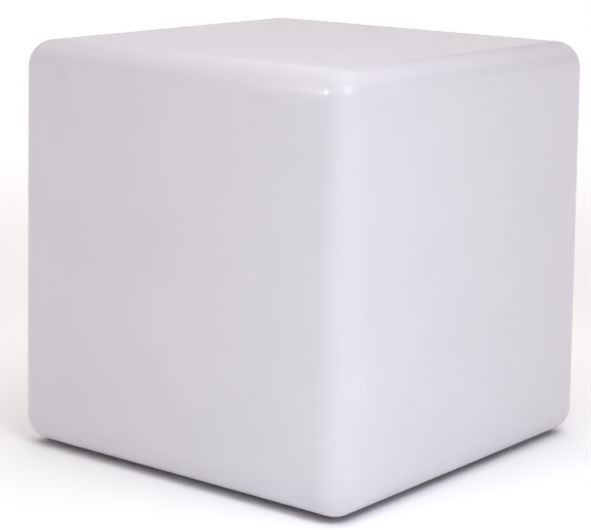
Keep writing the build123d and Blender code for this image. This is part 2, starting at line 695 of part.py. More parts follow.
strip_length = cell_ys[-1] - cell_ys[0] + STRIP_WIDTH
ear_half_width = POST_RADIUS + CLAMP_CLEARANCE
tab_y = pack_centre_y + ear_half_width + CLAMP_CLEARANCE + TAB_WIDTH / 2
protection_length = CELL_LENGTH - 2 * PROTECTION_END_MARGIN
tab_length = PROTECTION_END_MARGIN + STRIP_THICKNESS + TAB_LAP
with BuildPart() as nickel_strips:
    for side in (-1, 1):
        with BuildSketch(Plane.YZ.offset(side * CELL_LENGTH / 2)):
            with Locations((pack_centre_y, cell_level)):
                Rectangle(strip_length, STRIP_WIDTH)
            with Locations((tab_y, cell_level)):
                Rectangle(
                    TAB_WIDTH,
                    protection_top + STRIP_THICKNESS - cell_level,
                    align=(Align.CENTER, Align.MIN),
                )
        extrude(amount=side * STRIP_THICKNESS)
        with BuildSketch(Plane.XY.offset(protection_top)):
            with Locations((side * (CELL_LENGTH / 2 + STRIP_THICKNESS - tab_length / 2), tab_y)):
                Rectangle(tab_length, TAB_WIDTH)
        extrude(amount=STRIP_THICKNESS)
nickel_strips.part.label = "nickel_strips"
export_step(nickel_strips.part, "parts/nickel_strips.step")

clamp_length = CELL_LENGTH - 2 * CRADLE_WALL
ear_near = CELL_LENGTH / 2 + strip_room
ear_far = post_x + POST_RADIUS
with BuildPart() as battery_clamp:
    with BuildSketch(Plane.XY.offset(clamp_underside)):
        with Locations((0, pack_centre_y)):
            Rectangle(clamp_length, cell_ys[-1] - cell_ys[0])
    extrude(amount=clamp_top - clamp_underside)
    with BuildSketch(Plane.YZ):
        with Locations(*[(y, cell_level) for y in cell_ys]):
            Circle(CELL_RADIUS + CLAMP_CLEARANCE)
    extrude(amount=clamp_length, both=True, mode=Mode.SUBTRACT)
    with BuildSketch(Plane.XY.offset(clamp_underside)):
        for side in (-1, 1):
            with Locations((side * (ear_near + ear_far) / 2, pack_centre_y)):
                Rectangle(ear_far - ear_near, 2 * ear_half_width)
    extrude(amount=clamp_top - clamp_underside)
    with BuildSketch(Plane.XY.offset(clamp_top)):
        with Locations((0, pack_centre_y)):
            Rectangle(2 * ear_far, 2 * ear_half_width)
    extrude(amount=-CLAMP_CAP)
    with BuildSketch(Plane.XY.offset(clamp_underside)):
        with Locations(*clamp_posts):
            Circle(SMALL_SCREW_RADIUS + SHANK_CLEARANCE)
    extrude(amount=clamp_top - clamp_underside, mode=Mode.SUBTRACT)
battery_clamp.part.label = "battery_clamp"
export_step(battery_clamp.part, "parts/battery_clamp.step")

battery_clamp_screws = screws(
    clamp_posts,
    clamp_top,
    -1,
    SMALL_SCREW_RADIUS,
    clamp_top - clamp_underside + THREAD_GRIP,
    SMALL_HEAD_RADIUS,
    SMALL_HEAD_HEIGHT,
)
battery_clamp_screws.part.label = "battery_clamp_screws"
export_step(battery_clamp_screws.part, "parts/battery_clamp_screws.step")

with BuildPart() as protection_board:
    with BuildSketch(Plane.XY.offset(clamp_top)):
        with Locations((0, pack_centre_y)):
            Rectangle(protection_length, PROTECTION_WIDTH)
    extrude(amount=PROTECTION_THICKNESS)
protection_board.part.label = "protection_board"
export_step(protection_board.part, "parts/protection_board.step")

with BuildPart() as protection_chips:
    with BuildSketch(Plane.XY.offset(protection_top)):
        with Locations((0, pack_centre_y)):
            with GridLocations(2 * PROTECTION_CHIP_SIDE, 1, PROTECTION_CHIP_COUNT, 1):
                Rectangle(PROTECTION_CHIP_SIDE, PROTECTION_CHIP_SIDE)
    extrude(amount=PROTECTION_CHIP_HEIGHT)
protection_chips.part.label = "protection_chips"
export_step(protection_chips.part, "parts/protection_chips.step")

# ---- Control board on four posts, with its parts -----------------------------------------------

with BuildPart() as control_board:
    with BuildSketch(Plane.XY.offset(board_underside)):
        with Locations((0, pack_centre_y)):
            RectangleRounded(board_length, board_width, BOARD_CORNER)
        with Locations(*board_posts):
            Circle(SMALL_SCREW_RADIUS + SHANK_CLEARANCE, mode=Mode.SUBTRACT)
    extrude(amount=BOARD_THICKNESS)
control_board.part.label = "control_board"
export_step(control_board.part, "parts/control_board.step")

component_row = pack_centre_y + COMPONENT_ROW_OFFSET
with BuildPart() as control_chips:
    with BuildSketch(Plane.XY.offset(board_top)):
        with Locations((-CONNECTOR_PITCH, pack_centre_y - CHIP_WIDTH)):
            Rectangle(CHIP_LENGTH, CHIP_WIDTH)
        with Locations((0, pack_centre_y - CHIP_WIDTH)):
            Rectangle(CHIP_WIDTH, CHIP_WIDTH)
    extrude(amount=CHIP_HEIGHT)
    with BuildSketch(Plane.XY.offset(board_top)):
        with Locations((-1.5 * CONNECTOR_PITCH, component_row + DRIVER_SIDE)):
            with GridLocations(DRIVER_PITCH, 1, DRIVER_COUNT, 1):
                Rectangle(DRIVER_SIDE, DRIVER_SIDE)
    extrude(amount=DRIVER_HEIGHT)
control_chips.part.label = "control_chips"
export_step(control_chips.part, "parts/control_chips.step")

with BuildPart() as power_inductor:
    with BuildSketch(Plane.XY.offset(board_top)):
        with Locations((CONNECTOR_PITCH, component_row)):
            RectangleRounded(INDUCTOR_SIDE, INDUCTOR_SIDE, INDUCTOR_CORNER)
    extrude(amount=INDUCTOR_HEIGHT)
power_inductor.part.label = "power_inductor"
export_step(power_inductor.part, "parts/power_inductor.step")

with BuildPart() as capacitors:
    with BuildSketch(Plane.XY.offset(board_top)):
        with Locations((post_x - CAPACITOR_FROM_POST, component_row)):
            with GridLocations(1, CAPACITOR_PITCH, 1, 2):
                Circle(CAPACITOR_RADIUS)
    extrude(amount=CAPACITOR_HEIGHT)
    fillet(capacitors.edges().group_by(Axis.Z)[-1], radius=CAPACITOR_ROUND)
capacitors.part.label = "capacitors"
export_step(capacitors.part, "parts/capacitors.step")

with BuildPart() as board_connectors:
    with BuildSketch(Plane.XY.offset(board_top)):
        with Locations(*[(x, connector_face) for x in connector_xs]):
            Rectangle(CONNECTOR_WIDTH, CONNECTOR_DEPTH, align=(Align.CENTER, Align.MIN))
    extrude(amount=CONNECTOR_HEIGHT)
    with BuildSketch(Plane.XY.offset(board_top + CONNECTOR_HEIGHT)):
        with Locations(*[(x, connector_face + CONNECTOR_DEPTH / 2) for x in connector_xs]):
            Rectangle(CONNECTOR_WIDTH - 2 * CONNECTOR_WALL, CONNECTOR_DEPTH - 2 * CONNECTOR_WALL)
    extrude(amount=-CONNECTOR_WALL, mode=Mode.SUBTRACT)
board_connectors.part.label = "board_connectors"
export_step(board_connectors.part, "parts/board_connectors.step")

board_screws = screws(
    board_posts,
    board_top,
    -1,
    SMALL_SCREW_RADIUS,
    BOARD_THICKNESS + THREAD_GRIP,
    SMALL_HEAD_RADIUS,
    SMALL_HEAD_HEIGHT,
)
board_screws.part.label = "board_screws"
export_step(board_screws.part, "parts/board_screws.step")

# ---- Light source on the roof of the housing, under a milky dome -------------------------------

led_screw_places = circle_places(led_screw_circle, LED_SCREW_COUNT, start=90)
led_screw_depth = LED_BOARD_THICKNESS + SPREADER_THICKNESS
with BuildPart() as heat_spreader:
    with BuildSketch(Plane.XY.offset(roof_top)):
        Circle(spreader_radius)
        with Locations(*dome_screw_places):
            Circle(SMALL_SCREW_RADIUS + SHANK_CLEARANCE, mode=Mode.SUBTRACT)
        with Locations(*led_screw_places):
            Circle(post_hole_radius, mode=Mode.SUBTRACT)
        with Locations(led_lead_place):
            Circle(grommet_hole_radius, mode=Mode.SUBTRACT)
    extrude(amount=SPREADER_THICKNESS)
heat_spreader.part.label = "heat_spreader"
export_step(heat_spreader.part, "parts/heat_spreader.step")

with BuildPart() as led_board:
    with BuildSketch(Plane.XY.offset(spreader_top)):
        Circle(led_board_radius)
        with Locations(*led_screw_places):
            Circle(SMALL_SCREW_RADIUS + SHANK_CLEARANCE, mode=Mode.SUBTRACT)
        with Locations(led_lead_place):
            Circle(LED_LEAD_RADIUS + SHANK_CLEARANCE, mode=Mode.SUBTRACT)
    extrude(amount=LED_BOARD_THICKNESS)
led_board.part.label = "led_board"
export_step(led_board.part, "parts/led_board.step")

with BuildPart() as led_packages:
    with BuildSketch(Plane.XY.offset(led_board_top)):
        with PolarLocations(INNER_LED_RADIUS, INNER_LED_COUNT, start_angle=180 / INNER_LED_COUNT):
            Rectangle(LED_SIDE, LED_SIDE)
        with PolarLocations(OUTER_LED_RADIUS, OUTER_LED_COUNT):
            Rectangle(LED_SIDE, LED_SIDE)
    extrude(amount=LED_HEIGHT)
    with BuildSketch(Plane.XY.offset(led_board_top + LED_HEIGHT)):
        with PolarLocations(INNER_LED_RADIUS, INNER_LED_COUNT, start_angle=180 / INNER_LED_COUNT):
            Circle(LED_WINDOW_RADIUS)
        with PolarLocations(OUTER_LED_RADIUS, OUTER_LED_COUNT):
            Circle(LED_WINDOW_RADIUS)
    extrude(amount=-LED_WINDOW_DEPTH, mode=Mode.SUBTRACT)
led_packages.part.label = "led_packages"
export_step(led_packages.part, "parts/led_packages.step")

with BuildPart() as led_resistors:
    with BuildSketch(Plane.XY.offset(led_board_top)):
        with PolarLocations(resistor_circle, RESISTOR_COUNT, start_angle=180 / RESISTOR_COUNT):
            Rectangle(RESISTOR_WIDTH, RESISTOR_LENGTH)
    extrude(amount=RESISTOR_HEIGHT)
led_resistors.part.label = "led_resistors"
export_step(led_resistors.part, "parts/led_resistors.step")

led_board_screws = screws(
    led_screw_places,
    led_board_top,
    -1,
    SMALL_SCREW_RADIUS,
    led_screw_depth,
    SMALL_HEAD_RADIUS,
    SMALL_HEAD_HEIGHT,
)
led_board_screws.part.label = "led_board_screws"
export_step(led_board_screws.part, "parts/led_board_screws.step")

with BuildPart() as led_board_connector:
    with BuildSketch(Plane.XY.offset(led_board_top)):
        with Locations(led_connector_place):
            Rectangle(CONNECTOR_WIDTH, CONNECTOR_DEPTH)
    extrude(amount=CONNECTOR_HEIGHT)
led_board_connector.part.label = "led_board_connector"
export_step(led_board_connector.part, "parts/led_board_connector.step")

receiver_y = -led_screw_circle
with BuildPart() as ir_receiver:
    with BuildSketch(Plane.XY.offset(led_board_top)):
        with Locations((0, receiver_y)):
            Rectangle(RECEIVER_WIDTH, RECEIVER_DEPTH)
    extrude(amount=RECEIVER_HEIGHT)
    with BuildSketch(Plane.XY.offset(led_board_top + RECEIVER_HEIGHT)):
        with Locations((0, receiver_y)):
            Circle(RECEIVER_LENS_RADIUS)
    extrude(amount=RECEIVER_LENS_RISE)
    fillet(ir_receiver.edges().group_by(Axis.Z)[-1], radius=RECEIVER_LENS_ROUND)
ir_receiver.part.label = "ir_receiver"
export_step(ir_receiver.part, "parts/ir_receiver.step")


def cap_arc(base_radius, base_level, rise):
    """Three points, in the plane of X and Z, on the arc of a shallow round cap, from its base to its top."""
    ball_radius = (base_radius**2 + rise**2) / (2 * rise)
    middle = asin(base_radius / ball_radius) / 2
    centre_level = base_level + rise - ball_radius
    halfway = (ball_radius * sin(middle), centre_level + ball_radius * cos(middle))
    return (base_radius, base_level), halfway, (0, base_level + rise)


outer_arc = cap_arc(dome_radius, dome_flange_top, DOME_RISE)
inner_arc = cap_arc(dome_radius - DOME_WALL, dome_seal_top, DOME_RISE + DOME_FLANGE_THICKNESS - DOME_WALL)
with BuildPart() as diffuser_dome:
    with BuildSketch(Plane.XZ):
        with BuildLine():
            ThreePointArc(*outer_arc)
            Line(outer_arc[2], inner_arc[2])
            ThreePointArc(*inner_arc)
            Polyline(
                inner_arc[0],
                (spreader_radius, dome_seal_top),
                (spreader_radius, dome_flange_top),
                outer_arc[0],
            )
        make_face()
    revolve(axis=Axis.Z)
    with BuildSketch(Plane.XY.offset(dome_flange_top)):
        with Locations(*dome_screw_places):
            Circle(SMALL_SCREW_RADIUS + SHANK_CLEARANCE)
    extrude(amount=-DOME_FLANGE_THICKNESS, mode=Mode.SUBTRACT)
diffuser_dome.part.label = "diffuser_dome"
export_step(diffuser_dome.part, "parts/diffuser_dome.step")

with BuildPart() as dome_seal:
    with BuildSketch(Plane.XY.offset(spreader_top)):
        Circle(spreader_radius)
        Circle(dome_radius - DOME_WALL, mode=Mode.SUBTRACT)
        with Locations(*dome_screw_places):
            Circle(SMALL_SCREW_RADIUS + SHANK_CLEARANCE, mode=Mode.SUBTRACT)
    extrude(amount=DOME_SEAL_THICKNESS)
dome_seal.part.label = "dome_seal"
export_step(dome_seal.part, "parts/dome_seal.step")

dome_screws = screws(
    dome_screw_places,
    dome_flange_top,
    -1,
    SMALL_SCREW_RADIUS,
    dome_screw_length,
    SMALL_HEAD_RADIUS,
    SMALL_HEAD_HEIGHT,
)
dome_screws.part.label = "dome_screws"
export_step(dome_screws.part, "parts/dome_screws.step")

with BuildPart() as led_lead_grommet:
    with BuildSketch(Plane.XY.offset(roof_underside)):
        with Locations(led_lead_place):
            Circle(GROMMET_FLANGE_RADIUS)
    extrude(amount=-GROMMET_FLANGE_THICKNESS)
    with BuildSketch(Plane.XY.offset(roof_underside)):
        with Locations(led_lead_place):
            Circle(GROMMET_RADIUS)
    extrude(amount=HOUSING_ROOF + SPREADER_THICKNESS)
    with BuildSketch(Plane.XY.offset(roof_underside - GROMMET_FLANGE_THICKNESS)):
        with Locations(led_lead_place):
            Circle(LED_LEAD_RADIUS + GROMMET_CLEARANCE)
    extrude(amount=GROMMET_FLANGE_THICKNESS + HOUSING_ROOF + SPREADER_THICKNESS, mode=Mode.SUBTRACT)
led_lead_grommet.part.label = "led_lead_grommet"
export_step(led_lead_grommet.part, "parts/led_lead_grommet.step")

# ---- Push button: body, seal, nut, sprung cap with its contact, and two pins -------------------

bore_roof = seal_underside + BUTTON_BARREL_LENGTH - BUTTON_ROOF
barrel_top = seal_underside + BUTTON_BARREL_LENGTH
with BuildPart() as button_body:
    with BuildSketch(Plane.XY.offset(flange_underside)):
        with Locations(button_place):
            Circle(BUTTON_FLANGE_RADIUS)
    extrude(amount=CONTROL_FLANGE_THICKNESS)
    chamfer(button_body.edges().group_by(Axis.Z)[0], length=CONTROL_FLANGE_CHAMFER)
    with BuildSketch(Plane.XY.offset(seal_underside)):
        with Locations(button_place):
            Circle(BUTTON_BARREL_RADIUS)
    extrude(amount=BUTTON_BARREL_LENGTH)
    with BuildSketch(Plane.XY.offset(seal_underside)):
        with Locations(button_place):
            Circle(BUTTON_BORE_RADIUS)
    extrude(amount=bore_roof - seal_underside, mode=Mode.SUBTRACT)
    with BuildSketch(Plane.XY.offset(flange_underside)):
        with Locations(button_place):
            Circle(BUTTON_CAP_RADIUS + SLIDE_CLEARANCE)
    extrude(amount=CONTROL_FLANGE_THICKNESS, mode=Mode.SUBTRACT)
    with BuildSketch(Plane.XY.offset(bore_roof)):
        with Locations(button_place):
            with GridLocations(PIN_SPACING, 1, 2, 1):
                Circle(PIN_RADIUS)
    extrude(amount=BUTTON_ROOF, mode=Mode.SUBTRACT)
button_body.part.label = "button_body"
export_step(button_body.part, "parts/button_body.step")

button_seal = rings(
    [button_place], seal_underside, CONTROL_SEAL_THICKNESS, BUTTON_FLANGE_RADIUS, button_hole_radius
)
button_seal.part.label = "button_seal"
export_step(button_seal.part, "parts/button_seal.step")

button_nut = panel_nut(button_place, BUTTON_BARREL_RADIUS)
button_nut.part.label = "button_nut"
export_step(button_nut.part, "parts/button_nut.step")

collar_top = seal_underside + BUTTON_COLLAR_HEIGHT
contact_top = collar_top + CONTACT_THICKNESS
with BuildPart() as button_cap:
    with BuildSketch(Plane.XY.offset(flange_underside - BUTTON_CAP_PROUD)):
        with Locations(button_place):
            Circle(BUTTON_CAP_RADIUS)
    extrude(amount=BUTTON_CAP_PROUD + CONTROL_FLANGE_THICKNESS)
    fillet(button_cap.edges().group_by(Axis.Z)[0], radius=BUTTON_CAP_ROUND)
    with BuildSketch(Plane.XY.offset(seal_underside)):
        with Locations(button_place):
            Circle(BUTTON_BORE_RADIUS - SLIDE_CLEARANCE)
    extrude(amount=BUTTON_COLLAR_HEIGHT)
button_cap.part.label = "button_cap"
export_step(button_cap.part, "parts/button_cap.step")

with BuildPart() as button_contact:
    with BuildSketch(Plane.XY.offset(collar_top)):
        with Locations(button_place):
            Circle(CONTACT_RADIUS)
    extrude(amount=CONTACT_THICKNESS)
button_contact.part.label = "button_contact"
export_step(button_contact.part, "parts/button_contact.step")

pin_bottom = contact_top + BUTTON_TRAVEL + CONTACT_GAP
pin_top = barrel_top + PIN_TAIL
with BuildPart() as button_pins:
    with BuildSketch(Plane.XY.offset(pin_bottom)):
        with Locations(button_place):
            with GridLocations(PIN_SPACING, 1, 2, 1):
                Circle(PIN_RADIUS)
    extrude(amount=pin_top - pin_bottom)
button_pins.part.label = "button_pins"
export_step(button_pins.part, "parts/button_pins.step")

spring_bottom = collar_top + SPRING_END_GAP + SPRING_WIRE_RADIUS
spring_height = bore_roof - SPRING_END_GAP - SPRING_WIRE_RADIUS - spring_bottom
with BuildPart() as button_spring:
    with BuildLine() as coil:
        Helix(
            pitch=spring_height / SPRING_TURNS,
            height=spring_height,
            radius=SPRING_RADIUS,
            center=(*button_place, spring_bottom),
        )
    with BuildSketch(Plane(origin=coil.line @ 0, z_dir=coil.line % 0)):
        Circle(SPRING_WIRE_RADIUS)
    sweep(path=coil.line, is_frenet=True)
button_spring.part.label = "button_spring"
export_step(button_spring.part, "parts/button_spring.step")

# ---- Charging socket under its rubber flap -----------------------------------------------------

jack_top = seal_underside + JACK_BARREL_LENGTH
with BuildPart() as charge_jack:
    with BuildSketch(Plane.XY.offset(flange_underside)):
        with Locations(jack_place):
            Circle(JACK_FLANGE_RADIUS)
    extrude(amount=CONTROL_FLANGE_THICKNESS)
    chamfer(charge_jack.edges().group_by(Axis.Z)[0], length=CONTROL_FLANGE_CHAMFER)
    with BuildSketch(Plane.XY.offset(seal_underside)):
        with Locations(jack_place):
            Circle(JACK_BARREL_RADIUS)
    extrude(amount=JACK_BARREL_LENGTH)
    with BuildSketch(Plane.XY.offset(flange_underside)):
        with Locations(jack_place):
            Circle(JACK_SOCKET_RADIUS)
    extrude(amount=JACK_SOCKET_DEPTH, mode=Mode.SUBTRACT)
    with BuildSketch(Plane.XY.offset(flange_underside + JACK_SOCKET_DEPTH)):
        with Locations(jack_place):
            Circle(JACK_PIN_RADIUS)
    extrude(amount=JACK_PIN_ROOT, mode=Mode.SUBTRACT)
charge_jack.part.label = "charge_jack"
export_step(charge_jack.part, "parts/charge_jack.step")

with BuildPart() as charge_jack_pin:
    with BuildSketch(Plane.XY.offset(flange_underside + JACK_PIN_SETBACK)):
        with Locations(jack_place):
            Circle(JACK_PIN_RADIUS)
    extrude(amount=JACK_SOCKET_DEPTH - JACK_PIN_SETBACK + JACK_PIN_ROOT)
    chamfer(charge_jack_pin.edges().group_by(Axis.Z)[0], length=JACK_PIN_CHAMFER)
charge_jack_pin.part.label = "charge_jack_pin"
export_step(charge_jack_pin.part, "parts/charge_jack_pin.step")

with BuildPart() as charge_jack_tabs:
    with BuildSketch(Plane.XY.offset(jack_top)):
        with Locations(jack_place):
            with GridLocations(JACK_TAB_SPACING, 1, 2, 1):
                Rectangle(JACK_TAB_THICKNESS, JACK_TAB_WIDTH)
    extrude(amount=JACK_TAB_LENGTH)
charge_jack_tabs.part.label = "charge_jack_tabs"
export_step(charge_jack_tabs.part, "parts/charge_jack_tabs.step")

charge_jack_seal = rings(
    [jack_place], seal_underside, CONTROL_SEAL_THICKNESS, JACK_FLANGE_RADIUS, jack_hole_radius
)
charge_jack_seal.part.label = "charge_jack_seal"
export_step(charge_jack_seal.part, "parts/charge_jack_seal.step")

charge_jack_nut = panel_nut(jack_place, JACK_BARREL_RADIUS)
charge_jack_nut.part.label = "charge_jack_nut"
export_step(charge_jack_nut.part, "parts/charge_jack_nut.step")

flap_top = flange_underside - FLAP_GAP
flap_underside = flap_top - FLAP_THICKNESS
flap_hinge_level = flap_underside + FLAP_THICKNESS / 2
flap_stem_radius = JACK_SOCKET_RADIUS - FLAP_STEM_CLEARANCE
with BuildPart() as charge_port_flap:
    with BuildSketch(Plane.XY.offset(flap_underside)):
        with Locations(jack_place):
            Circle(JACK_FLANGE_RADIUS + FLAP_MARGIN)
            Rectangle(FLAP_ARM_WIDTH, FLAP_REACH, align=(Align.CENTER, Align.MIN))
    extrude(amount=FLAP_THICKNESS)
    with BuildSketch(Plane.YZ.offset(jack_place[0])):
        with Locations((flap_hinge_y, flap_hinge_level)):
            Circle(FLAP_THICKNESS / 2)
    extrude(amount=FLAP_ARM_WIDTH / 2, both=True)
    with BuildSketch(Plane.XY.offset(flap_top)):
        with Locations(jack_place):
            Circle(flap_stem_radius)
            Circle(flap_stem_radius - FLAP_STEM_WALL, mode=Mode.SUBTRACT)
    extrude(amount=FLAP_STEM_LENGTH, taper=FLAP_STEM_TAPER)
charge_port_flap.part.label = "charge_port_flap"
export_step(charge_port_flap.part, "parts/charge_port_flap.step")

anchor_near = flap_hinge_y + anchor_gap
anchor_stud_length = PLATE_THICKNESS + ANCHOR_HEAD_HEIGHT
with BuildPart() as flap_anchor:
    with BuildSketch(Plane.XY.offset(plate_underside)):
        with Locations((jack_place[0], anchor_near)):
            Rectangle(ANCHOR_WIDTH, ANCHOR_LENGTH, align=(Align.CENTER, Align.MIN))
    extrude(amount=flap_hinge_level - plate_underside)
    with BuildSketch(Plane.XY.offset(plate_underside)):
        with Locations((jack_place[0], anchor_near)):
            Rectangle(ANCHOR_WIDTH, 2 * anchor_gap, align=(Align.CENTER, Align.MAX))
    extrude(amount=flap_hinge_level + anchor_gap - plate_underside)
    with BuildSketch(Plane.XY.offset(plate_underside)):
        with Locations(stud_place):
            Circle(ANCHOR_STUD_RADIUS)
    extrude(amount=anchor_stud_length)
    with BuildSketch(Plane.XY.offset(plate_top)):
        with Locations(stud_place):
            Circle(ANCHOR_HEAD_RADIUS)
    extrude(amount=ANCHOR_HEAD_HEIGHT, taper=ANCHOR_HEAD_TAPER)
flap_anchor.part.label = "flap_anchor"
export_step(flap_anchor.part, "parts/flap_anchor.step")

# ---- Charging light: a small lens through the base plate, with its LED behind it ---------------

lens_top = plate_top + LENS_TAIL
with BuildPart() as indicator_lens:
    with BuildSketch(Plane.XY.offset(plate_underside)):
        with Locations(indicator_place):
            Circle(LENS_FLANGE_RADIUS)
    extrude(amount=-LENS_FLANGE_THICKNESS)
    fillet(indicator_lens.edges().group_by(Axis.Z)[0], radius=LENS_FLANGE_THICKNESS / 2)
    with BuildSketch(Plane.XY.offset(plate_underside)):
        with Locations(indicator_place):
            Circle(LENS_RADIUS)
    extrude(amount=PLATE_THICKNESS + LENS_TAIL)
indicator_lens.part.label = "indicator_lens"
export_step(indicator_lens.part, "parts/indicator_lens.step")

indicator_top = lens_top + INDICATOR_HEIGHT
with BuildPart() as indicator_led:
    with BuildSketch(Plane.XY.offset(lens_top)):
        with Locations(indicator_place):
            Circle(INDICATOR_RADIUS)
    extrude(amount=INDICATOR_HEIGHT)
indicator_led.part.label = "indicator_led"
export_step(indicator_led.part, "parts/indicator_led.step")

# ---- Leads inside the housing, each to its own connector on the control board ------------------


def control_lead(place, start_level):
    """A lead that rises from a control and turns once, level with the control board's connectors."""
    x, y = place
    points = [(x, y, start_level), (x, y, connector_level), (x, connector_face, connector_level)]
    bend = min(LEAD_BEND, END_BEND_SHARE * (connector_level - start_level))
    return lead(points, [bend], LEAD_RADIUS)


button_lead = control_lead(button_place, pin_top)
button_lead.part.label = "button_lead"
export_step(button_lead.part, "parts/button_lead.step")

indicator_lead = control_lead(indicator_place, indicator_top)
indicator_lead.part.label = "indicator_lead"
export_step(indicator_lead.part, "parts/indicator_lead.step")

jack_lead = control_lead(jack_place, jack_top + JACK_TAB_LENGTH)
jack_lead.part.label = "jack_lead"
export_step(jack_lead.part, "parts/jack_lead.step")

battery_lead_level = protection_top + LEAD_RADIUS + GROMMET_CLEARANCE
battery_lead_start = pack_centre_y - PROTECTION_WIDTH / 2 + TAB_LAP
battery_lead_rise = connector_level - battery_lead_level
battery_lead_turn = connector_face - battery_lead_rise - LEAD_RADIUS
battery_lead = lead(
    [
        (battery_lead_x, battery_lead_start, battery_lead_level),
        (battery_lead_x, battery_lead_turn, battery_lead_level),
        (battery_lead_x, battery_lead_turn, connector_level),
        (battery_lead_x, connector_face, connector_level),
    ],
    [BEND_SHARE * battery_lead_rise, BEND_SHARE * battery_lead_rise],
    LEAD_RADIUS,
)
battery_lead.part.label = "battery_lead"
export_step(battery_lead.part, "parts/battery_lead.step")

led_loop_level = led_board_top + LED_LEAD_LOOP
led_lead = lead(
    [
        (led_lead_x, connector_face, connector_level),
        (led_lead_x, -LED_LEAD_SETBACK, connector_level),
        (led_lead_x, -LED_LEAD_SETBACK, led_loop_level),
        (led_lead_x, led_connector_place[1], led_loop_level),
        (led_lead_x, led_connector_place[1], led_board_top + CONNECTOR_HEIGHT),
    ],
    [LEAD_BEND, LED_LEAD_BEND, min(LED_LEAD_BEND, END_BEND_SHARE * (LED_LEAD_LOOP - CONNECTOR_HEIGHT))],
    LED_LEAD_RADIUS,
)
led_lead.part.label = "led_lead"
export_step(led_lead.part, "parts/led_lead.step")
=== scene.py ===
import math

import bmesh
import bpy
from bpy.props import FloatProperty, FloatVectorProperty, IntProperty, PointerProperty
from mathutils import Matrix, Vector


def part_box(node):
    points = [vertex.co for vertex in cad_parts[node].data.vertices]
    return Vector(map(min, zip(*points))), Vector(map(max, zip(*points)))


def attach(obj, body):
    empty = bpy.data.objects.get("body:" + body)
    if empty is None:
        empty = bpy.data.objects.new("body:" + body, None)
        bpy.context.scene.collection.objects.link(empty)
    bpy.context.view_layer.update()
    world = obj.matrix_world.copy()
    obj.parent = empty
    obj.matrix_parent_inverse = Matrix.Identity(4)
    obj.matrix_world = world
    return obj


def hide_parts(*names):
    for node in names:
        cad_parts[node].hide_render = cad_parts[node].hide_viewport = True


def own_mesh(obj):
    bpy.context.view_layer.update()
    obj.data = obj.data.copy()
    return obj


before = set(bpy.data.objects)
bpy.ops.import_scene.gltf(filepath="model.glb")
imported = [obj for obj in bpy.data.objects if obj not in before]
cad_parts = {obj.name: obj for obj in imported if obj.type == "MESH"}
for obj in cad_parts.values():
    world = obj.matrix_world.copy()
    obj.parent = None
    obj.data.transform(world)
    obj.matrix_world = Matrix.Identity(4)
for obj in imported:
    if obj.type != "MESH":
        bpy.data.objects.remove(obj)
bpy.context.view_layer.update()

bl_info = {
    "name": "LED Cube Light",
    "version": (1, 0, 0),
    "blender": (4, 5, 0),
    "location": "3D View > Sidebar > Cube Light",
    "description": "Gives every piece of a rechargeable LED cube light its finish, and sets it on a studio stage",
    "category": "Object",
}

MM = 0.001

# The studio floor lies a little below the feet, and its glow starts and is full that far from the cube's middle.
FLOOR_DROP, FLOOR_SEGMENTS = 0.2 * MM, 128
GLOW_STARTS, GLOW_FULL = 0.6, 2.5

# The sine of the angle above the horizon at which the white walls start to darken, and at which they are gone.
WALL_TOP, WALL_GONE = 0.1, 0.25

# A mark of use on the shell, and a stippled patch with a painted glisten: where each one is, and how far it reaches.
RUB_PLACE, RUB_RADIUS = (-0.1982, 0.1402, 0.3704), 14 * MM
STIPPLE_GLINT_PLACE, STIPPLE_GLINT_RADIUS = (-0.1683, -0.2008, 0.1263), 28 * MM

# The marks of the base plate's ejector pins: how many, on a circle of what radius, turned how far, and how big.
EJECTOR_PINS, EJECTOR_CIRCLE, EJECTOR_TURN = 8, 60 * MM, 0.2
EJECTOR_RADIUS, EJECTOR_RIM, EJECTOR_DEPTH = 2.9 * MM, 0.3 * MM, 0.08 * MM

# The camera's sensor width in millimetres, and how far it sees, in metres.
SENSOR_WIDTH, FARTHEST = 36, 100

# The button's spring: flats round its wire, steps in a turn, and the pitch of its closed ends in wire diameters.
WIRE_FLATS, TURN_STEPS, CLOSED_PITCH = 12, 36, 1.04


def linear(colour):
    """Turns an sRGB hex colour such as "#D8D4DA" into the linear colour that Blender's sockets take."""
    channels = [int(colour[place:place + 2], 16) / 255 for place in (1, 3, 5)]
    return tuple(c / 12.92 if c <= 0.04045 else ((c + 0.055) / 1.055) ** 2.4 for c in channels) + (1.0,)


# ---------------------------------------------------------------- settings


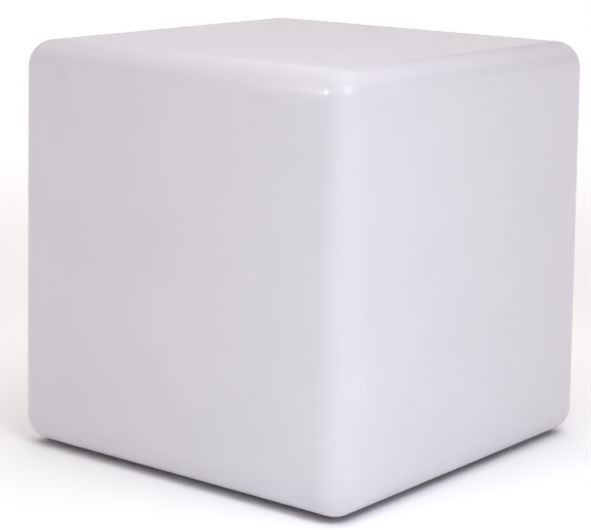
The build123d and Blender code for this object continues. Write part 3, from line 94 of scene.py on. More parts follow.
class StageSettings(bpy.types.PropertyGroup):
    """The camera, the floor and the studio lights."""

    camera_lens: FloatProperty(
        name="Lens", description="Focal length of the camera",
        default=119.75, min=1, unit="CAMERA")
    camera_azimuth: FloatProperty(
        name="Azimuth",
        description="How far the camera stands round from the front, to the right. Less than 0 is to the left",
        default=math.radians(-51.558), subtype="ANGLE")
    camera_elevation: FloatProperty(
        name="Elevation", description="How far the camera looks down on the cube",
        default=math.radians(12.161), subtype="ANGLE")
    camera_roll: FloatProperty(
        name="Roll", description="How far the camera is turned about its own line of sight",
        default=math.radians(0.876), subtype="ANGLE")
    camera_distance: FloatProperty(
        name="Distance", description="From the camera to the point it looks at",
        default=1.95133, min=0.1, unit="LENGTH")
    camera_target: FloatVectorProperty(
        name="Target", description="The point that the camera looks at",
        default=(-0.005874, 0.007400, 0.176876), subtype="TRANSLATION")
    floor_radius: FloatProperty(
        name="Floor Radius", description="Radius of the studio floor",
        default=24.0, min=1, unit="LENGTH")
    floor_colour: FloatVectorProperty(
        name="Floor Colour", description="Colour of the floor",
        subtype="COLOR", min=0, max=1, default=linear("#FAF9FB")[:3])
    floor_glow: FloatProperty(
        name="Floor Glow", description="Light that the translucent floor gives off, away from the cube",
        default=0.28, min=0)
    glow_colour: FloatVectorProperty(
        name="Glow Colour", description="Colour of the floor's own light",
        subtype="COLOR", min=0, max=1, default=linear("#E6F2FF")[:3])
    room_colour: FloatVectorProperty(
        name="Room Colour", description="Colour of the light from all round",
        subtype="COLOR", min=0, max=1, default=linear("#FFFFFF")[:3])
    wall_strength: FloatProperty(
        name="Wall Strength",
        description="Strength of the light from the white walls, just above the horizon",
        default=1.0, min=0)
    room_strength: FloatProperty(
        name="Room Strength", description="Strength of the light from above the walls",
        default=0.02, min=0)
    ceiling_strength: FloatProperty(
        name="Ceiling Strength", description="Strength of the wide, even light from the ceiling",
        default=2.57, min=0)
    ceiling_spread: FloatProperty(
        name="Ceiling Spread", description="How wide the ceiling light looks from the floor",
        default=math.radians(90), subtype="ANGLE")
    front_power: FloatProperty(
        name="Front Power", description="Power of the softbox before the front corner",
        default=2.47, min=0, unit="POWER")
    right_power: FloatProperty(
        name="Right Power", description="Power of the softbox on the right",
        default=0.72, min=0, unit="POWER")
    top_power: FloatProperty(
        name="Top Power", description="Power of the softbox above the cube",
        default=2.2, min=0, unit="POWER")
    back_power: FloatProperty(
        name="Back Power", description="Power of the softbox behind the cube",
        default=3.09, min=0, unit="POWER")
    left_lamp_power: FloatProperty(
        name="Left Lamp Power",
        description="Power of the small lamp on the left, whose highlight shows on the front top corner",
        default=5.0, min=0, unit="POWER")
    right_lamp_power: FloatProperty(
        name="Right Lamp Power",
        description="Power of the small lamp on the right, whose highlight shows on the front top corner",
        default=3.3, min=0, unit="POWER")


class ShellSettings(bpy.types.PropertyGroup):
    """The moulded polyethylene cube."""

    polyethylene: FloatVectorProperty(
        name="Polyethylene", description="Colour of the moulded shell",
        subtype="COLOR", min=0, max=1, default=linear("#DEDAE1")[:3])
    cloud: FloatVectorProperty(
        name="Cloud", description="Colour of the paler clouds where the powder melted thicker",
        subtype="COLOR", min=0, max=1, default=linear("#E0DCE3")[:3])
    roughness: FloatProperty(
        name="Roughness", description="Roughness of the moulded skin",
        default=0.3, min=0, max=1, subtype="FACTOR")
    translucency: FloatProperty(
        name="Translucency", description="Share of the light that scatters inside the wall",
        default=0.3, min=0, max=1, subtype="FACTOR")
    scatter: FloatProperty(
        name="Scatter Depth", description="How deep light goes into the wall",
        default=5 * MM, min=0, unit="LENGTH", precision=4)
    peel_spacing: FloatProperty(
        name="Orange Peel Spacing", description="Width of one dimple of the moulded skin",
        default=3.4 * MM, min=0.1 * MM, unit="LENGTH", precision=4)
    peel_depth: FloatProperty(
        name="Orange Peel Depth", description="Depth of the dimples",
        default=0.02 * MM, min=0, unit="LENGTH", precision=5)
    wave_spacing: FloatProperty(
        name="Wave Spacing",
        description="Width of one slow wave of the wall, which shrinks unevenly as it cools",
        default=120 * MM, min=1 * MM, unit="LENGTH", precision=4)
    wave_depth: FloatProperty(
        name="Wave Depth", description="Depth of the slow waves",
        default=0.15 * MM, min=0, unit="LENGTH", precision=5)
    crown_depth: FloatProperty(
        name="Crown Depth", description="How far the middle of each flat side seems to stand out",
        default=2.5 * MM, min=0, unit="LENGTH", precision=4)


class ModuleSettings(bpy.types.PropertyGroup):
    """The light module in the cube's underside, and the feet."""

    white_abs: FloatVectorProperty(
        name="White ABS", description="Colour of the base plate",
        subtype="COLOR", min=0, max=1, default=linear("#E9E9EA")[:3])
    grey_abs: FloatVectorProperty(
        name="Grey ABS", description="Colour of the module's housing",
        subtype="COLOR", min=0, max=1, default=linear("#A0A2A6")[:3])
    black_nylon: FloatVectorProperty(
        name="Black Nylon", description="Colour of the cradle, the socket and the button's body",
        subtype="COLOR", min=0, max=1, default=linear("#26262A")[:3])
    rubber: FloatVectorProperty(
        name="Rubber", description="Colour of the feet and the flap",
        subtype="COLOR", min=0, max=1, default=linear("#2B2B2C")[:3])
    silicone: FloatVectorProperty(
        name="Silicone", description="Colour of the seals",
        subtype="COLOR", min=0, max=1, default=linear("#C9C9C8")[:3])
    cell_film: FloatVectorProperty(
        name="Cell Film", description="Colour of the film round the battery cells",
        subtype="COLOR", min=0, max=1, default=linear("#2E6DB4")[:3])
    solder_mask: FloatVectorProperty(
        name="Solder Mask", description="Colour of the control and protection boards",
        subtype="COLOR", min=0, max=1, default=linear("#14582F")[:3])
    sheath: FloatVectorProperty(
        name="Lead Sheath", description="Colour of the leads' sheaths",
        subtype="COLOR", min=0, max=1, default=linear("#1F1F22")[:3])
    mould_grain: FloatProperty(
        name="Mould Grain", description="Width of one grain of the spark-eroded moulds",
        default=0.8 * MM, min=0.05 * MM, unit="LENGTH", precision=5)
    inner_circle: FloatProperty(
        name="Inner Circle", description="Radius of the inner circle of diodes",
        default=22 * MM, min=0, unit="LENGTH", precision=4)
    inner_count: IntProperty(
        name="Inner Count", description="Number of diodes on the inner circle",
        default=8, min=1)
    outer_circle: FloatProperty(
        name="Outer Circle", description="Radius of the outer circle of diodes",
        default=42 * MM, min=0, unit="LENGTH", precision=4)
    outer_count: IntProperty(
        name="Outer Count", description="Number of diodes on the outer circle",
        default=16, min=1)
    window_radius: FloatProperty(
        name="Window Radius", description="Radius of a diode's round window",
        default=2 * MM, min=0, unit="LENGTH", precision=4)
    spring_wire: FloatProperty(
        name="Spring Wire", description="Diameter of the button spring's wire",
        default=0.6 * MM, min=0.1 * MM, unit="LENGTH", precision=5)
    spring_turns: IntProperty(
        name="Spring Turns", description="Turns of the button's spring, with its two closed ends",
        default=5, min=3)


# ---------------------------------------------------------------- making materials


def add(tree, kind, inputs, output=0, **settings):
    """Adds one node with its settings, gives each of its inputs a value or a link, and returns one of its outputs."""
    new = tree.nodes.new("ShaderNode" + kind)
    for name, value in settings.items():
        setattr(new, name, value)
    for name, value in inputs.items():
        if isinstance(value, bpy.types.NodeSocket):
            tree.links.new(value, new.inputs[name])
        else:
            new.inputs[name].default_value = value
    return new.outputs[output] if new.outputs else None


def start(name):
    """The material of that name, new or emptied, with its tree and the object coordinates that its patterns read."""
    material = bpy.data.materials.get(name) or bpy.data.materials.new(name)
    material.use_nodes = True
    tree = material.node_tree
    tree.nodes.clear()
    return material, tree, add(tree, "TexCoord", {}, "Object")


def surface(material, inputs):
    """Ends a material: the shader with its inputs, linked to the material's output."""
    shader = add(material.node_tree, "BsdfPrincipled", inputs)
    add(material.node_tree, "OutputMaterial", {"Surface": shader})
    return material


def drift(tree, place, width, low, high, detail=2.0):
    """A value that drifts between low and high, over patches of that width in metres."""
    patches = add(tree, "TexNoise", {"Vector": place, "Scale": 1 / width, "Detail": detail})
    return add(tree, "MapRange", {
        "Value": patches, "From Min": 0.32, "From Max": 0.68, "To Min": low, "To Max": high})


def clouded(tree, place, width, first, second):
    """A colour that drifts between two, over patches of that width in metres."""
    return add(tree, "Mix", {0: drift(tree, place, width, 0.0, 1.0), 6: first, 7: second}, 2, data_type="RGBA")


def speckled(tree, place, width, cover, share, under, colour):
    """Specks of that width in metres and that colour over the colour beneath. A higher cover gives more specks."""
    patches = add(tree, "TexNoise", {"Vector": place, "Scale": 1 / width, "Detail": 2.0})
    specks = add(tree, "MapRange", {
        "Value": patches, "From Min": 0.75 - cover, "From Max": 0.82 - cover, "To Max": share})
    return add(tree, "Mix", {0: specks, 6: under, 7: colour}, 2, data_type="RGBA")


def dimpled(tree, place, width, depth, under=None):
    """The surface's normal with random dimples of that width and depth in metres, over the relief beneath."""
    height = add(tree, "TexNoise", {"Vector": place, "Scale": 1 / width, "Detail": 2.0})
    return add(tree, "Bump", {"Height": height, "Distance": depth, **({} if under is None else {"Normal": under})})


def stretched(tree, place, scale, turn=(0.0, 0.0, 0.0)):
    """Coordinates that draw a pattern out. The smaller the scale along an axis, the longer the pattern there."""
    return add(tree, "Mapping", {"Vector": place, "Rotation": turn, "Scale": scale})


def spot(tree, place, point, radius, strength):
    """A round spot of that strength at a point of the object, which fades out at its radius."""
    distance = add(tree, "VectorMath", {0: place, 1: point}, 1, operation="DISTANCE")
    return add(tree, "MapRange", {"Value": distance, "From Max": radius, "To Min": strength, "To Max": 0.0},
               interpolation_type="SMOOTHSTEP")


def from_circle_of_spots(tree, place, circle, count, turn):
    """How far a place is, in metres, from the nearest of that many spots, spaced evenly on a circle round Z."""
    x = add(tree, "SeparateXYZ", {"Vector": place}, "X")
    y = x.node.outputs["Y"]
    angle = add(tree, "Math", {0: y, 1: x}, operation="ARCTAN2")
    turned = add(tree, "Math", {0: angle, 1: turn}, operation="SUBTRACT")
    nearest = add(tree, "Math", {0: turned, 1: math.pi / count, 2: -math.pi / count}, operation="WRAP")
    radius = add(tree, "VectorMath", {0: add(tree, "CombineXYZ", {"X": x, "Y": y})}, 1, operation="LENGTH")
    along = add(tree, "Math", {0: nearest, 1: circle}, operation="MULTIPLY")
    out = add(tree, "Math", {0: radius, 1: circle}, operation="SUBTRACT")
    return add(tree, "VectorMath", {0: add(tree, "CombineXYZ", {"X": along, "Y": out})}, 1, operation="LENGTH")


def shade(colour, share):
    """The same colour, darker or lighter by that share, as a socket takes it."""
    return tuple(min(1.0, channel * share) for channel in colour[:3]) + (1.0,)


# ---------------------------------------------------------------- the cube's finish


def rotomoulded_polyethylene(shell):
    """Polyethylene, moulded by turning white powder in a hot mould.
    The eye gets a milky wall that light sinks into, a satin skin with shallow dimples, flat sides that wave and swell
    a little, pale clouds, a few pinholes with painted shade inside, a scuff, a stippled patch with a painted glisten,
    rubbed edges, and a darkening low down."""
    material, tree, place = start("rotomoulded_polyethylene")
    low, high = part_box("cube_shell")
    middle = [(a + b) / 2 for a, b in zip(low, high)]
    half = [(b - a) / 2 for a, b in zip(low, high)]

    # From the centre, each way as a share of half the cube. The second largest of the three is 0 in the middle of a
    # side, and comes near 1 at an edge.
    centred = add(tree, "VectorMath", {0: place, 1: middle}, operation="SUBTRACT")
    shares = add(tree, "VectorMath", {0: centred, 1: half}, operation="DIVIDE")
    sizes = add(tree, "VectorMath", {0: shares}, operation="ABSOLUTE")
    away = add(tree, "SeparateXYZ", {"Vector": sizes}).node.outputs
    larger = add(tree, "Math", {0: away["X"], 1: away["Y"]}, operation="MAXIMUM")
    smaller = add(tree, "Math", {0: away["X"], 1: away["Y"]}, operation="MINIMUM")
    clamped = add(tree, "Math", {0: larger, 1: away["Z"]}, operation="MINIMUM")
    second = add(tree, "Math", {0: smaller, 1: clamped}, operation="MAXIMUM")
    edge = add(tree, "MapRange", {
        "Value": second, "From Min": 0.90, "From Max": 0.965}, interpolation_type="SMOOTHSTEP")

    # Clouds 55 mm across, where the powder didn't melt quite evenly.
    colour = clouded(tree, place, 55 * MM, (*shell.polyethylene, 1), (*shell.cloud, 1))

    # Edges, rubbed by hands in patches of 14 mm.
    rubbed = add(tree, "Math", {
        0: edge, 1: drift(tree, place, 14 * MM, -0.6, 1.0, 4.0)}, operation="MULTIPLY", use_clamp=True)

    # Hair scratches that cross at two angles, inside a few worn patches of 90 mm. Real ones are 0.1 mm wide. They
    # are drawn 0.7 mm wide, or they wouldn't show.
    worn = drift(tree, place, 90 * MM, -1.2, 1.0, 1.0)
    first = add(tree, "TexNoise", {
        "Vector": stretched(tree, place, (1.0, 1.0, 0.03), (0.4, 0.9, 0.35)), "Scale": 1 / (2.2 * MM), "Detail": 2.0})
    other = add(tree, "TexNoise", {
        "Vector": stretched(tree, place, (1.0, 1.0, 0.03), (-0.7, 0.3, 1.2)), "Scale": 1 / (2.2 * MM), "Detail": 2.0})
    lines = add(tree, "Math", {0: first, 1: other}, operation="MAXIMUM")
    drawn = add(tree, "MapRange", {"Value": lines, "From Min": 0.66, "From Max": 0.72})
    scratched = add(tree, "Math", {0: drawn, 1: worn}, operation="MULTIPLY", use_clamp=True)
    whitened = add(tree, "Math", {0: scratched, 1: 0.12}, operation="MULTIPLY")
    colour = add(tree, "Mix", {0: whitened, 6: colour, 7: linear("#FFFFFF")}, 2, data_type="RGBA")

    # A grey rub high on the left side, a mark of use, and a painted glisten of white specks on a stippled patch low
    # on the right side.
    rub = add(tree, "Math", {
        0: spot(tree, place, RUB_PLACE, RUB_RADIUS, 0.16), 1: drift(tree, place, 5 * MM, 0.1, 1.0)},
        operation="MULTIPLY")
    colour = add(tree, "Mix", {0: rub, 6: colour, 7: linear("#A79EA6")}, 2, data_type="RGBA")
    stipple_glint = add(tree, "Math", {
        0: spot(tree, place, STIPPLE_GLINT_PLACE, STIPPLE_GLINT_RADIUS, 0.22), 1: drift(tree, place, 2.6 * MM, -0.6, 1.0)},
        operation="MULTIPLY", use_clamp=True)
    colour = add(tree, "Mix", {0: stipple_glint, 6: colour, 7: linear("#FFFFFF")}, 2, data_type="RGBA")

    # Pinholes 0.8 mm wide, where bubbles burst at the skin: one in three of the points that lie about 14 mm apart.
    holes = add(tree, "TexVoronoi", {"Vector": place, "Scale": 1 / (14 * MM)}, "Distance")
    chosen = add(tree, "SeparateColor", {"Color": holes.node.outputs["Color"]}, "Red")
    hole = add(tree, "MapRange", {"Value": holes, "From Min": 0.022, "From Max": 0.034, "To Min": 1.0, "To Max": 0.0})
    some = add(tree, "Math", {0: chosen, 1: 0.66}, operation="GREATER_THAN")
    pinhole = add(tree, "Math", {0: hole, 1: some}, operation="MULTIPLY")
    # The pits are painted grey inside: painted shade in each pinhole.
    pinhole_painted_shade = add(tree, "Math", {0: pinhole, 1: 0.3}, operation="MULTIPLY")
    colour = add(tree, "Mix", {0: pinhole_painted_shade, 6: colour, 7: linear("#8F8A90")}, 2, data_type="RGBA")

    # A warm grey darkening and more roughness towards the bottom, over the lowest 28 mm and inside the recess
    # underneath.
    height = add(tree, "SeparateXYZ", {"Vector": place}, "Z")
    lowest = add(tree, "MapRange", {
        "Value": height, "From Min": low[2], "From Max": low[2] + 28 * MM, "To Min": 1.0, "To Max": 0.0},
        interpolation_type="SMOOTHSTEP")
    low_band = add(tree, "Math", {0: lowest, 1: drift(tree, place, 6 * MM, 0.0, 1.0, 4.0)}, operation="MULTIPLY")
    low_band_darkening = add(tree, "Math", {0: low_band, 1: 0.1}, operation="MULTIPLY")
    colour = add(tree, "Mix", {0: low_band_darkening, 6: colour, 7: linear("#B7AFA6")}, 2, data_type="RGBA")

    roughness = drift(tree, place, 20 * MM, shell.roughness - 0.015, shell.roughness + 0.015, 3.0)
    for mark, rise in ((rubbed, 0.05), (scratched, 0.12), (rub, 0.2), (low_band, 0.15)):
        roughness = add(tree, "Math", {0: mark, 1: rise, 2: roughness}, operation="MULTIPLY_ADD")

    # Each side swells towards its middle, because its rim cooled first and held it.
    squares = add(tree, "VectorMath", {0: shares, 1: shares}, 1, operation="DOT_PRODUCT")
    crowned = add(tree, "Bump", {"Height": squares, "Distance": shell.crown_depth}, invert=True)
    waved = dimpled(tree, place, shell.wave_spacing, shell.wave_depth, crowned)
    peeled = dimpled(tree, place, shell.peel_spacing, shell.peel_depth, waved)
    pitted = add(tree, "Bump", {"Height": pinhole, "Distance": 0.2 * MM, "Normal": peeled}, invert=True)
    return surface(material, {
        "Base Color": colour,
        "Roughness": roughness,
        "IOR": 1.51,
        "Subsurface Weight": shell.translucency,
        "Subsurface Radius": (1.0, 0.93, 0.9),
        "Subsurface Scale": shell.scatter,
        "Normal": pitted,
    })


# ---------------------------------------------------------------- the module's finishes


def moulded_white_abs(module):
    """White ABS, injection moulded in a spark-eroded mould.
    The eye gets an even white with a fine tooth, faint flow clouds, and the flat round marks of ejector pins."""
    material, tree, place = start("moulded_white_abs")
    distance = from_circle_of_spots(tree, place, EJECTOR_CIRCLE, EJECTOR_PINS, EJECTOR_TURN)
    mark = add(tree, "MapRange", {
        "Value": distance, "From Min": EJECTOR_RADIUS, "From Max": EJECTOR_RADIUS + EJECTOR_RIM})
    marked = add(tree, "Bump", {"Height": mark, "Distance": EJECTOR_DEPTH})
    return surface(material, {
        "Base Color": clouded(tree, place, 18 * MM, shade(module.white_abs, 0.96), shade(module.white_abs, 1.02)),
        "Roughness": drift(tree, place, 7 * MM, 0.44, 0.56),
        "IOR": 1.53,
        "Normal": dimpled(tree, place, module.mould_grain, 0.015 * MM, marked),
    })


def moulded_grey_abs(module):
    """Grey ABS, injection moulded in a spark-eroded mould: a dull grey with a fine tooth and faint flow clouds."""
    material, tree, place = start("moulded_grey_abs")
    return surface(material, {
        "Base Color": clouded(tree, place, 18 * MM, shade(module.grey_abs, 0.94), shade(module.grey_abs, 1.05)),
        "Roughness": drift(tree, place, 7 * MM, 0.46, 0.58),
        "IOR": 1.53,
        "Normal": dimpled(tree, place, module.mould_grain, 0.015 * MM),
    })


def glass_filled_nylon(module):
    """Black nylon with glass fibre, injection moulded.
    The eye gets a dull black, where short pale fibres under the skin give a faint sparkle. Real ones are 0.01 mm
    wide. They are drawn 0.3 mm wide, or they wouldn't show."""
    material, tree, place = start("glass_filled_nylon")
    fibres = stretched(tree, place, (1.0, 0.2, 1.0), (0.5, 0.3, 0.8))
    return surface(material, {
        "Base Color": speckled(tree, fibres, 0.3 * MM, 0.12, 0.25, (*module.black_nylon, 1), linear("#6A6A70")),
        "Roughness": drift(tree, place, 5 * MM, 0.42, 0.56),
        "IOR": 1.53,
        "Normal": dimpled(tree, place, module.mould_grain, 0.02 * MM),
    })


def natural_nylon():
    """Nylon without dye, injection moulded in a smooth mould: a creamy, waxy white that lets a little light in."""
    material, tree, place = start("natural_nylon")
    return surface(material, {
        "Base Color": clouded(tree, place, 6 * MM, linear("#E9E6DC"), linear("#F1EFE8")),
        "Roughness": drift(tree, place, 3 * MM, 0.32, 0.44),
        "IOR": 1.53,
        "Subsurface Weight": 0.25,
        "Subsurface Scale": 1.5 * MM,
        "Normal": dimpled(tree, place, 0.9 * MM, 0.01 * MM),
    })


def infrared_polycarbonate():
    """Polycarbonate, dyed so that only infrared passes, from a polished mould: a glassy black with a plum tint."""
    material, tree, place = start("infrared_polycarbonate")
    return surface(material, {
        "Base Color": clouded(tree, place, 3 * MM, linear("#120C12"), linear("#1E141C")),
        "Roughness": drift(tree, place, 1.5 * MM, 0.06, 0.14),
        "IOR": 1.585,
        "Coat Weight": 0.5,
        "Coat Roughness": 0.05,
        "Normal": dimpled(tree, place, 4 * MM, 0.01 * MM),
    })


def opal_polycarbonate():
    """Opal polycarbonate, injection moulded: a milky, satin dome, in which the diodes are lost to sight."""
    material, tree, place = start("opal_polycarbonate")
    return surface(material, {
        "Base Color": clouded(tree, place, 25 * MM, linear("#EDEFF0"), linear("#F6F7F7")),
        "Roughness": drift(tree, place, 9 * MM, 0.24, 0.32),
        "IOR": 1.585,
        "Subsurface Weight": 0.6,
        "Subsurface Radius": (1.0, 0.98, 0.95),
        "Subsurface Scale": 3 * MM,
        "Normal": dimpled(tree, place, 1.2 * MM, 0.008 * MM),
    })


def clear_polycarbonate():
    """Clear polycarbonate from a polished mould: water-clear, with a faint green depth and slight flow ripples."""
    material, tree, place = start("clear_polycarbonate")
    return surface(material, {
        # The green tint is painted deeper in the ripples' hollows and paler on their crests, from the same noise as
        # their relief: painted shade and highlight.
        "Base Color": clouded(tree, place, 1.6 * MM, linear("#E6F2EB"), linear("#F3FAF6")),
        "Roughness": drift(tree, place, 0.8 * MM, 0.03, 0.1),
        "IOR": 1.585,
        "Transmission Weight": 0.9,
        "Normal": dimpled(tree, place, 1.6 * MM, 0.03 * MM),
    })


def moulded_rubber(module):
    """EPDM rubber, compression moulded: a dull near-black with a greyish bloom, scuffed paler near the ground."""
    material, tree, place = start("moulded_rubber")
    bloom = clouded(tree, place, 5 * MM, (*module.rubber, 1), linear("#3B3A3A"))
    height = add(tree, "SeparateXYZ", {"Vector": place}, "Z")
    tread = add(tree, "MapRange", {
        "Value": height, "From Min": 0.1 * MM, "From Max": 1.2 * MM, "To Min": 0.6, "To Max": 0.0})
    scuff = add(tree, "Math", {0: tread, 1: drift(tree, place, 2 * MM, 0.0, 1.0, 4.0)}, operation="MULTIPLY")
    roughness = add(tree, "Math", {
        0: scuff, 1: 0.15, 2: drift(tree, place, 3 * MM, 0.6, 0.78)}, operation="MULTIPLY_ADD")
    return surface(material, {
        "Base Color": add(tree, "Mix", {0: scuff, 6: bloom, 7: linear("#6B6864")}, 2, data_type="RGBA"),
        "Roughness": roughness,
        "IOR": 1.52,
        "Sheen Weight": 0.1,
        "Sheen Roughness": 0.5,
        "Normal": dimpled(tree, place, 0.7 * MM, 0.04 * MM),
    })


def die_cut_silicone(module):
    """Silicone rubber, rolled to a sheet and die cut: a soft, cloudy grey with a dull skin that holds pale lint."""
    material, tree, place = start("die_cut_silicone")
    cloudy = clouded(tree, place, 12 * MM, shade(module.silicone, 0.93), shade(module.silicone, 1.04))
    return surface(material, {
        "Base Color": speckled(tree, place, 1.2 * MM, 0.06, 0.4, cloudy, linear("#F0F0EE")),
        "Roughness": drift(tree, place, 4 * MM, 0.5, 0.64),
        "IOR": 1.41,
        "Subsurface Weight": 0.3,
        "Subsurface Scale": 1 * MM,
        "Normal": dimpled(tree, place, 0.7 * MM, 0.015 * MM),
    })


def bare_metal(name, dark, light, smooth, rough, marks, depth, scale=(1.0, 1.0, 1.0)):
    """A bare metal, with tool marks of that spacing and depth in metres, drawn out along the way it was worked.
    The eye gets highlights that break up along the marks, and a patchy film of oxide 4 mm across."""
    material, tree, place = start(name)
    worked = stretched(tree, place, scale)
    return surface(material, {
        "Base Color": clouded(tree, place, 4 * MM, linear(dark), linear(light)),
        "Metallic": 1.0,
        "Roughness": drift(tree, worked, marks, smooth, rough, 3.0),
        "Normal": dimpled(tree, worked, marks, depth),
    })


def zinc_plated_steel():
    """Steel, cold headed and zinc plated: a bright blue-grey, cloudy where the plating is thicker."""
    return bare_metal("zinc_plated_steel", "#9EA3A8", "#C3C6C9", 0.24, 0.4, 0.6 * MM, 0.012 * MM)


def drawn_spring_steel():
    """Spring steel, drawn to wire and oiled: a darker grey, with drag lines 0.3 mm apart, or they wouldn't show."""
    return bare_metal("drawn_spring_steel", "#6C6E72", "#8F9195", 0.18, 0.38, 0.3 * MM, 0.006 * MM, (1.0, 1.0, 0.3))


def turned_brass():
    """Brass, turned on a lathe: warm yellow, with the tool's rings drawn 0.3 mm apart along the inserts' axes."""
    return bare_metal("turned_brass", "#B08A45", "#D2B066", 0.2, 0.4, 0.3 * MM, 0.012 * MM, (0.1, 0.1, 1.0))


def rolled_nickel():
    """Nickel strip, cold rolled: a warm silver with rolling lines drawn 0.4 mm apart along the strips."""
    return bare_metal("rolled_nickel", "#A9A49B", "#CCC8BF", 0.18, 0.34, 0.4 * MM, 0.006 * MM, (1.0, 0.05, 1.0))


def tinned_brass():
    """Brass dipped in tin: a soft, whitish silver, matt where the tin set slowly, in patches of 0.9 mm."""
    return bare_metal("tinned_brass", "#B4B2AC", "#D2D1CC", 0.32, 0.52, 0.9 * MM, 0.015 * MM)


def stamped_aluminium():
    """Aluminium sheet, rolled and stamped to a disc: pale grey with rolling lines drawn 0.5 mm apart, all one way."""
    return bare_metal("stamped_aluminium", "#B6B8BB", "#D6D7D9", 0.27, 0.45, 0.5 * MM, 0.008 * MM, (0.03, 1.0, 1.0))


def solder_masked_board(name, mask, track, pitch):
    """A circuit board under glossy solder mask, which rises over copper tracks at that pitch in metres.
    The eye gets straight tracks and round vias of a slightly different tone."""
    material, tree, place = start(name)
    tracks = add(tree, "TexBrick", {
        "Vector": place, "Scale": 1 / pitch, "Mortar Size": 0.07, "Mortar Smooth": 0.1,
        "Brick Width": 1.7, "Row Height": 0.45},
        "Fac", offset=0.37, offset_frequency=3, squash=0.6, squash_frequency=2)
    vias = add(tree, "TexVoronoi", {"Vector": place, "Scale": 1 / (1.6 * pitch), "Randomness": 0.8})
    via = add(tree, "MapRange", {"Value": vias, "From Min": 0.08, "From Max": 0.1, "To Min": 1.0, "To Max": 0.0})
    copper = add(tree, "Math", {0: tracks, 1: via}, operation="MAXIMUM")
    seen = add(tree, "Math", {0: copper, 1: 0.7}, operation="MULTIPLY")
    tone = add(tree, "Mix", {0: seen, 6: mask, 7: track}, 2, data_type="RGBA")
    raised = add(tree, "Bump", {"Height": copper, "Distance": 0.035 * MM})
    return surface(material, {
        "Base Color": tone,
        "Roughness": drift(tree, place, 6 * MM, 0.22, 0.32),
        "IOR": 1.52,
        "Coat Weight": 0.3,
        "Coat Roughness": 0.15,
        "Normal": dimpled(tree, place, 1.5 * MM, 0.004 * MM, raised),
    })


def green_solder_mask(module):
    """Glass epoxy board under green mask: deep green, with tracks a shade lighter and 3 mm apart."""
    return solder_masked_board("green_solder_mask", (*module.solder_mask, 1), linear("#2C7B47"), 3 * MM)


def white_solder_mask():
    """Aluminium-cored board under white mask: bright, to throw light up, with tracks a shade greyer, 5 mm apart."""
    return solder_masked_board("white_solder_mask", linear("#EDEEEC"), linear("#D6D7D2"), 5 * MM)


def shrunk_film(module):
    """PVC film, shrunk round the cells: glossy, with lengthwise creases about 1.6 mm apart."""
    material, tree, place = start("shrunk_film")
    creases = stretched(tree, place, (0.08, 1.0, 1.0))
    return surface(material, {
        # The creases are painted darker in their hollows and lighter on their ridges, from the same noise as their
        # relief: painted shade and highlight.
        "Base Color": clouded(tree, creases, 1.6 * MM, shade(module.cell_film, 0.82), shade(module.cell_film, 1.12)),
        "Roughness": drift(tree, place, 8 * MM, 0.16, 0.3),
        "IOR": 1.54,
        "Coat Weight": 0.4,
        "Coat Roughness": 0.1,
        "Normal": dimpled(tree, creases, 1.6 * MM, 0.06 * MM),
    })


def phosphor_filled_package(module):
    """White plastic diode packages, filled with gel and phosphor: a clean white rim round a glossy yellow window."""
    material, tree, place = start("phosphor_filled_package")
    inner = from_circle_of_spots(tree, place, module.inner_circle, module.inner_count, math.pi / module.inner_count)
    outer = from_circle_of_spots(tree, place, module.outer_circle, module.outer_count, 0.0)
    nearest = add(tree, "Math", {0: inner, 1: outer}, operation="MINIMUM")
    window = add(tree, "MapRange", {
        "Value": nearest, "From Min": 0.95 * module.window_radius, "From Max": module.window_radius,
        "To Min": 1.0, "To Max": 0.0})
    gel = clouded(tree, place, 0.4 * MM, linear("#D9B23C"), linear("#ECCB5E"))
    rim = clouded(tree, place, 1.5 * MM, linear("#ECEBE6"), linear("#F5F4F1"))
    return surface(material, {
        "Base Color": add(tree, "Mix", {0: window, 6: rim, 7: gel}, 2, data_type="RGBA"),
        "Roughness": add(tree, "MapRange", {"Value": window, "To Min": 0.42, "To Max": 0.16}),
        "IOR": 1.53,
        "Subsurface Weight": 0.15,
        "Subsurface Scale": 0.5 * MM,
        "Normal": dimpled(tree, place, 0.5 * MM, 0.01 * MM),
    })


def sleeved_aluminium_can():
    """An aluminium can in a shrunk sleeve: dark plastic round its side, and bare metal at its top."""
    material, tree, place = start("sleeved_aluminium_can")
    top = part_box("capacitors")[1][2]
    height = add(tree, "SeparateXYZ", {"Vector": place}, "Z")
    bare = add(tree, "MapRange", {"Value": height, "From Min": top - 0.15 * MM, "From Max": top - 0.05 * MM})
    creases = stretched(tree, place, (1.0, 1.0, 0.15))
    # The sleeve's creases are painted darker in their hollows and lighter on their ridges, from the same noise as
    # their relief: painted shade and highlight.
    sleeve = clouded(tree, creases, 0.9 * MM, linear("#23252C"), linear("#343741"))
    return surface(material, {
        "Base Color": add(tree, "Mix", {0: bare, 6: sleeve, 7: linear("#C9CACC")}, 2, data_type="RGBA"),
        "Metallic": bare,
        "Roughness": drift(tree, place, 1.2 * MM, 0.24, 0.38),
        "Normal": dimpled(tree, creases, 0.9 * MM, 0.03 * MM),
    })


def pressed_ferrite():
    """Ferrite powder, pressed and fired: a charcoal grey with paler specks and fine pits, like a dark stone."""
    material, tree, place = start("pressed_ferrite")
    return surface(material, {
        "Base Color": speckled(tree, place, 0.35 * MM, 0.15, 0.7, linear("#2C2C2F"), linear("#505055")),
        "Roughness": drift(tree, place, 0.8 * MM, 0.5, 0.7, 3.0),
        "IOR": 1.7,
        "Normal": dimpled(tree, place, 0.8 * MM, 0.05 * MM),
    })


